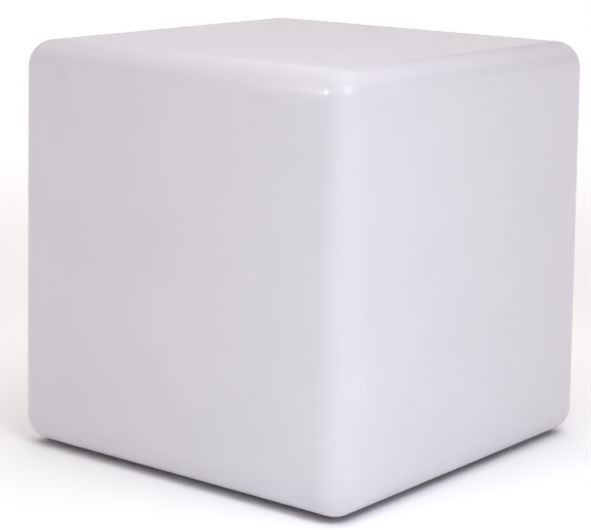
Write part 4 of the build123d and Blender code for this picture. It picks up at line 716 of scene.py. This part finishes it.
def extruded_sheath(module):
    """PVC, extruded over the wires: satin, with a soft ripple where the twisted wires press from inside."""
    material, tree, place = start("extruded_sheath")
    return surface(material, {
        # The ripples are painted darker in their hollows and lighter on their crests, from the same noise as their
        # relief: painted shade and highlight.
        "Base Color": clouded(tree, place, 2.4 * MM, shade(module.sheath, 0.85), shade(module.sheath, 1.3)),
        "Roughness": drift(tree, place, 3 * MM, 0.36, 0.5),
        "IOR": 1.54,
        "Normal": dimpled(tree, place, 2.4 * MM, 0.06 * MM),
    })


# ---------------------------------------------------------------- pieces


def dress(finish, *nodes):
    """Gives CAD nodes one finish, through their own material slots."""
    for name in nodes:
        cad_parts[name].material_slots[0].material = finish


class CUBELIGHT_OT_stage(bpy.types.Operator):
    """Set up the studio: floor, soft lights and the camera"""

    bl_idname = "cube_light.stage"
    bl_label = "Stage"

    def execute(self, context):
        scene = context.scene
        stage = scene.cube_light_stage
        scene.view_settings.view_transform = "Standard"

        circle = bmesh.new()
        below_feet = Matrix.Translation((0, 0, -FLOOR_DROP))
        bmesh.ops.create_circle(
            circle, cap_ends=True, segments=FLOOR_SEGMENTS, radius=stage.floor_radius, matrix=below_feet)
        mesh = bpy.data.meshes.new("studio_floor")
        circle.to_mesh(mesh)
        circle.free()
        floor = bpy.data.objects.new("studio_floor", mesh)
        scene.collection.objects.link(floor)
        mesh.materials.append(self.floor_sheet(stage))

        scene.world = self.room(stage)
        scene.camera = self.camera(stage)
        scene.collection.objects.link(scene.camera)
        for lamp in self.lamps(stage):
            scene.collection.objects.link(lamp)
            # The small lamps make the two highlights on the front top corner, and nothing else. The broad lights in
            # front and above are kept out of the gloss, where they would drown those.
            lamp.visible_camera = False
            lamp.visible_glossy = lamp.name not in ("front_softbox", "top_softbox", "ceiling")
            lamp.visible_diffuse = lamp.name not in ("left_lamp", "right_lamp")
        return {"FINISHED"}

    def floor_sheet(self, stage):
        """Opal acrylic sheet, cast and matt: white, and lit from below, only away from the cube."""
        material, tree, place = start("opal_floor_sheet")
        radius = add(tree, "VectorMath", {0: place}, 1, operation="LENGTH")
        glow = add(tree, "MapRange", {
            "Value": radius, "From Min": GLOW_STARTS, "From Max": GLOW_FULL, "To Max": stage.floor_glow},
            interpolation_type="SMOOTHSTEP")
        return surface(material, {
            "Base Color": (*stage.floor_colour, 1),
            "Roughness": drift(tree, place, 700 * MM, 0.85, 0.95),
            "Specular IOR Level": 0.2,
            "Emission Color": (*stage.glow_colour, 1),
            "Emission Strength": glow,
        })

    def room(self, stage):
        """White walls up to 6 degrees above the horizon, which darken towards the room's own light at 14 degrees."""
        room = bpy.data.worlds.new("studio_room")
        room.use_nodes = True
        tree = room.node_tree
        tree.nodes.clear()
        height = add(tree, "SeparateXYZ", {"Vector": add(tree, "TexCoord", {}, "Generated")}, "Z")
        strength = add(tree, "MapRange", {
            "Value": height, "From Min": WALL_TOP, "From Max": WALL_GONE,
            "To Min": stage.wall_strength, "To Max": stage.room_strength}, interpolation_type="SMOOTHSTEP")
        walls = add(tree, "Background", {"Color": (*stage.room_colour, 1), "Strength": strength})
        add(tree, "OutputWorld", {"Surface": walls})
        return room

    def camera(self, stage):
        """The camera, at its distance from the point it looks at, level but for its roll."""
        lens = bpy.data.cameras.new("camera")
        lens.lens = stage.camera_lens
        lens.sensor_width = SENSOR_WIDTH
        lens.clip_end = FARTHEST
        towards = Vector((
            math.sin(stage.camera_azimuth) * math.cos(stage.camera_elevation),
            -math.cos(stage.camera_azimuth) * math.cos(stage.camera_elevation),
            math.sin(stage.camera_elevation)))
        across = Vector((0, 0, 1)).cross(towards).normalized()
        level = Matrix((across, towards.cross(across), towards)).transposed()
        turn = (level @ Matrix.Rotation(stage.camera_roll, 3, "Z")).to_4x4()
        camera = bpy.data.objects.new("camera", lens)
        place = Vector(stage.camera_target) + towards * stage.camera_distance
        camera.matrix_world = Matrix.Translation(place) @ turn
        return camera

    def lamps(self, stage):
        """The ceiling light, and each lamp with its place, aim, width, spread in degrees, power and colour."""
        for name, place, aim, size, spread, power, colour in (
            ("front_softbox", (-0.55, -0.85, 1.1), (-0.45, -0.6, 0), 0.4, 90, stage.front_power, "#E7F6FF"),
            ("right_softbox", (1.33, -0.77, 1.5), (0, 0, 0.2), 1.2, 180, stage.right_power, "#9398FF"),
            ("top_softbox", (-0.25, -0.25, 1.5), (-0.1, -0.1, 0.4), 0.8, 180, stage.top_power, "#F2FBFF"),
            ("back_softbox", (1.2, 1.2, 1.6), (0, 0, 0.4), 1.2, 180, stage.back_power, "#E2E5FF"),
            ("left_lamp", (-1.157, 0.325, 0.899), (-0.19, -0.1, 0.3), 0.2, 180, stage.left_lamp_power, "#FFFFFF"),
            ("right_lamp", (-0.491, -1.059, 1.156), (-0.1, -0.19, 0.3), 0.2, 180, stage.right_lamp_power, "#FFFFFF"),
        ):
            light = bpy.data.lights.new(name, "AREA")
            light.shape = "DISK"
            light.size = size
            light.spread = math.radians(spread)
            light.energy = power
            light.color = linear(colour)[:3]
            lamp = bpy.data.objects.new(name, light)
            away = (Vector(place) - Vector(aim)).normalized()
            lamp.matrix_world = Matrix.Translation(place) @ away.to_track_quat("Z", "Y").to_matrix().to_4x4()
            yield lamp
        ceiling = bpy.data.lights.new("ceiling", "SUN")
        ceiling.energy = stage.ceiling_strength
        ceiling.angle = stage.ceiling_spread
        ceiling.color = linear("#FFF9F3")[:3]
        yield bpy.data.objects.new("ceiling", ceiling)


class CUBELIGHT_OT_cube_shell(bpy.types.Operator):
    """Give the moulded cube its polyethylene"""

    bl_idname = "cube_light.cube_shell"
    bl_label = "Cube Shell"

    def execute(self, context):
        dress(rotomoulded_polyethylene(context.scene.cube_light_shell), "cube_shell")
        return {"FINISHED"}


class CUBELIGHT_OT_feet(bpy.types.Operator):
    """Finish the four rubber feet and their screws"""

    bl_idname = "cube_light.feet"
    bl_label = "Feet"

    def execute(self, context):
        module = context.scene.cube_light_module
        dress(moulded_rubber(module), "rubber_feet")
        dress(zinc_plated_steel(), "foot_screws")
        return {"FINISHED"}


class CUBELIGHT_OT_base(bpy.types.Operator):
    """Finish the base plate, its gasket, and the screws, washers and inserts that hold it"""

    bl_idname = "cube_light.base"
    bl_label = "Base"

    def execute(self, context):
        module = context.scene.cube_light_module
        dress(moulded_white_abs(module), "base_plate")
        dress(die_cut_silicone(module), "base_gasket")
        dress(zinc_plated_steel(), "base_screws", "base_screw_washers")
        dress(turned_brass(), "threaded_inserts")
        return {"FINISHED"}


class CUBELIGHT_OT_housing(bpy.types.Operator):
    """Finish the module's housing with its seal and screws"""

    bl_idname = "cube_light.housing"
    bl_label = "Housing"

    def execute(self, context):
        module = context.scene.cube_light_module
        dress(moulded_grey_abs(module), "housing_cup")
        dress(die_cut_silicone(module), "housing_seal")
        dress(zinc_plated_steel(), "housing_screws")
        return {"FINISHED"}


class CUBELIGHT_OT_battery(bpy.types.Operator):
    """Finish the battery: cells, strips, cradle, clamp and protection board"""

    bl_idname = "cube_light.battery"
    bl_label = "Battery"

    def execute(self, context):
        module = context.scene.cube_light_module
        dress(shrunk_film(module), "battery_cells")
        dress(rolled_nickel(), "nickel_strips")
        dress(glass_filled_nylon(module), "battery_cradle", "battery_clamp", "protection_chips")
        dress(zinc_plated_steel(), "battery_clamp_screws")
        dress(green_solder_mask(module), "protection_board")
        return {"FINISHED"}


class CUBELIGHT_OT_control_board(bpy.types.Operator):
    """Finish the control board and what is soldered to it"""

    bl_idname = "cube_light.control_board"
    bl_label = "Control Board"

    def execute(self, context):
        module = context.scene.cube_light_module
        dress(green_solder_mask(module), "control_board")
        dress(glass_filled_nylon(module), "control_chips")
        dress(pressed_ferrite(), "power_inductor")
        dress(sleeved_aluminium_can(), "capacitors")
        dress(natural_nylon(), "board_connectors")
        dress(zinc_plated_steel(), "board_screws")
        return {"FINISHED"}


class CUBELIGHT_OT_light_engine(bpy.types.Operator):
    """Finish the light engine: spreader, board, diodes, resistors and receiver"""

    bl_idname = "cube_light.light_engine"
    bl_label = "Light Engine"

    def execute(self, context):
        module = context.scene.cube_light_module
        dress(stamped_aluminium(), "heat_spreader")
        dress(white_solder_mask(), "led_board")
        dress(phosphor_filled_package(module), "led_packages")
        dress(glass_filled_nylon(module), "led_resistors")
        dress(zinc_plated_steel(), "led_board_screws")
        dress(natural_nylon(), "led_board_connector")
        dress(moulded_rubber(module), "led_lead_grommet")
        dress(infrared_polycarbonate(), "ir_receiver")
        return {"FINISHED"}


class CUBELIGHT_OT_dome(bpy.types.Operator):
    """Finish the diffuser dome with its seal and screws"""

    bl_idname = "cube_light.dome"
    bl_label = "Dome"

    def execute(self, context):
        module = context.scene.cube_light_module
        dress(opal_polycarbonate(), "diffuser_dome")
        dress(die_cut_silicone(module), "dome_seal")
        dress(zinc_plated_steel(), "dome_screws")
        return {"FINISHED"}


class CUBELIGHT_OT_button(bpy.types.Operator):
    """Finish the push button, and coil its return spring, which in the real button shortens as it is pressed"""

    bl_idname = "cube_light.button"
    bl_label = "Button"

    def execute(self, context):
        module = context.scene.cube_light_module
        dress(glass_filled_nylon(module), "button_body", "button_nut")
        dress(die_cut_silicone(module), "button_seal")
        dress(natural_nylon(), "button_cap")
        dress(tinned_brass(), "button_contact", "button_pins")
        steel = drawn_spring_steel()
        dress(steel, "button_spring")
        self.return_spring(module, steel)
        return {"FINISHED"}

    def return_spring(self, module, steel):
        """Coils the spring from its wire's section, with a closed turn at each end, in its CAD node's place."""
        low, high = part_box("button_spring")
        radius = (high[0] - low[0] - module.spring_wire) / 2
        centre = ((low[0] + high[0]) / 2, (low[1] + high[1]) / 2, 0)
        height = high[2] - low[2] - module.spring_wire
        closed_rise = CLOSED_PITCH * module.spring_wire
        open_turns = module.spring_turns - 2
        open_rise = (height - 2 * closed_rise) / open_turns

        coil = bmesh.new()
        first = Matrix.Translation((centre[0] + radius, centre[1], low[2] + module.spring_wire / 2))
        upright = Matrix.Rotation(math.pi / 2, 4, "X")
        bmesh.ops.create_circle(coil, segments=WIRE_FLATS, radius=module.spring_wire / 2, matrix=first @ upright)
        ring = coil.edges[:]
        for turns, rise in ((1, closed_rise), (open_turns, open_rise), (1, closed_rise)):
            spun = bmesh.ops.spin(
                coil, geom=ring, cent=centre, axis=(0, 0, 1), dvec=(0, 0, rise / TURN_STEPS),
                angle=math.tau * turns, steps=TURN_STEPS * turns)
            ring = [part for part in spun["geom_last"] if isinstance(part, bmesh.types.BMEdge)]
        for face in coil.faces:
            face.smooth = True
        bmesh.ops.holes_fill(coil, edges=[edge for edge in coil.edges if edge.is_boundary], sides=WIRE_FLATS)
        bmesh.ops.recalc_face_normals(coil, faces=coil.faces)
        mesh = bpy.data.meshes.new("button_return_spring")
        coil.to_mesh(mesh)
        coil.free()
        mesh.materials.append(steel)
        spring = bpy.data.objects.new("button_return_spring", mesh)
        bpy.context.scene.collection.objects.link(spring)

        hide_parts("button_spring")
        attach(spring, "cube")
        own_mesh(spring)


class CUBELIGHT_OT_charging_socket(bpy.types.Operator):
    """Finish the charging socket and the rubber flap over it"""

    bl_idname = "cube_light.charging_socket"
    bl_label = "Charging Socket"

    def execute(self, context):
        module = context.scene.cube_light_module
        dress(glass_filled_nylon(module), "charge_jack", "charge_jack_nut")
        dress(tinned_brass(), "charge_jack_pin", "charge_jack_tabs")
        dress(die_cut_silicone(module), "charge_jack_seal")
        dress(moulded_rubber(module), "charge_port_flap", "flap_anchor")
        return {"FINISHED"}


class CUBELIGHT_OT_charging_light(bpy.types.Operator):
    """Finish the charging light: its lens and its diode"""

    bl_idname = "cube_light.charging_light"
    bl_label = "Charging Light"

    def execute(self, context):
        dress(clear_polycarbonate(), "indicator_lens", "indicator_led")
        return {"FINISHED"}


class CUBELIGHT_OT_leads(bpy.types.Operator):
    """Finish the leads inside the module"""

    bl_idname = "cube_light.leads"
    bl_label = "Leads"

    def execute(self, context):
        sheath = extruded_sheath(context.scene.cube_light_module)
        dress(sheath, "battery_lead", "button_lead", "jack_lead", "indicator_lead", "led_lead")
        return {"FINISHED"}


OPERATORS = (
    CUBELIGHT_OT_stage,
    CUBELIGHT_OT_cube_shell,
    CUBELIGHT_OT_feet,
    CUBELIGHT_OT_base,
    CUBELIGHT_OT_housing,
    CUBELIGHT_OT_battery,
    CUBELIGHT_OT_control_board,
    CUBELIGHT_OT_light_engine,
    CUBELIGHT_OT_dome,
    CUBELIGHT_OT_button,
    CUBELIGHT_OT_charging_socket,
    CUBELIGHT_OT_charging_light,
    CUBELIGHT_OT_leads,
)


class CUBELIGHT_PT_pieces(bpy.types.Panel):
    """Lists the settings and the pieces in the 3D view's sidebar"""

    bl_label = "Cube Light"
    bl_idname = "CUBELIGHT_PT_pieces"
    bl_space_type = "VIEW_3D"
    bl_region_type = "UI"
    bl_category = "Cube Light"

    def draw(self, context):
        scene = context.scene
        for settings in (scene.cube_light_stage, scene.cube_light_shell, scene.cube_light_module):
            box = self.layout.box()
            for name in settings.__annotations__:
                box.prop(settings, name)
        for operator in OPERATORS:
            self.layout.operator(operator.bl_idname)


CLASSES = (StageSettings, ShellSettings, ModuleSettings, *OPERATORS, CUBELIGHT_PT_pieces)


def register():
    for cls in CLASSES:
        bpy.utils.register_class(cls)
    bpy.types.Scene.cube_light_stage = PointerProperty(type=StageSettings)
    bpy.types.Scene.cube_light_shell = PointerProperty(type=ShellSettings)
    bpy.types.Scene.cube_light_module = PointerProperty(type=ModuleSettings)


def unregister():
    del bpy.types.Scene.cube_light_module
    del bpy.types.Scene.cube_light_shell
    del bpy.types.Scene.cube_light_stage
    for cls in reversed(CLASSES):
        bpy.utils.unregister_class(cls)


def main():
    register()
    bpy.ops.cube_light.stage()
    bpy.ops.cube_light.cube_shell()
    bpy.ops.cube_light.feet()
    bpy.ops.cube_light.base()
    bpy.ops.cube_light.housing()
    bpy.ops.cube_light.battery()
    bpy.ops.cube_light.control_board()
    bpy.ops.cube_light.light_engine()
    bpy.ops.cube_light.dome()
    bpy.ops.cube_light.button()
    bpy.ops.cube_light.charging_socket()
    bpy.ops.cube_light.charging_light()
    bpy.ops.cube_light.leads()


if __name__ == "__main__":
    main()
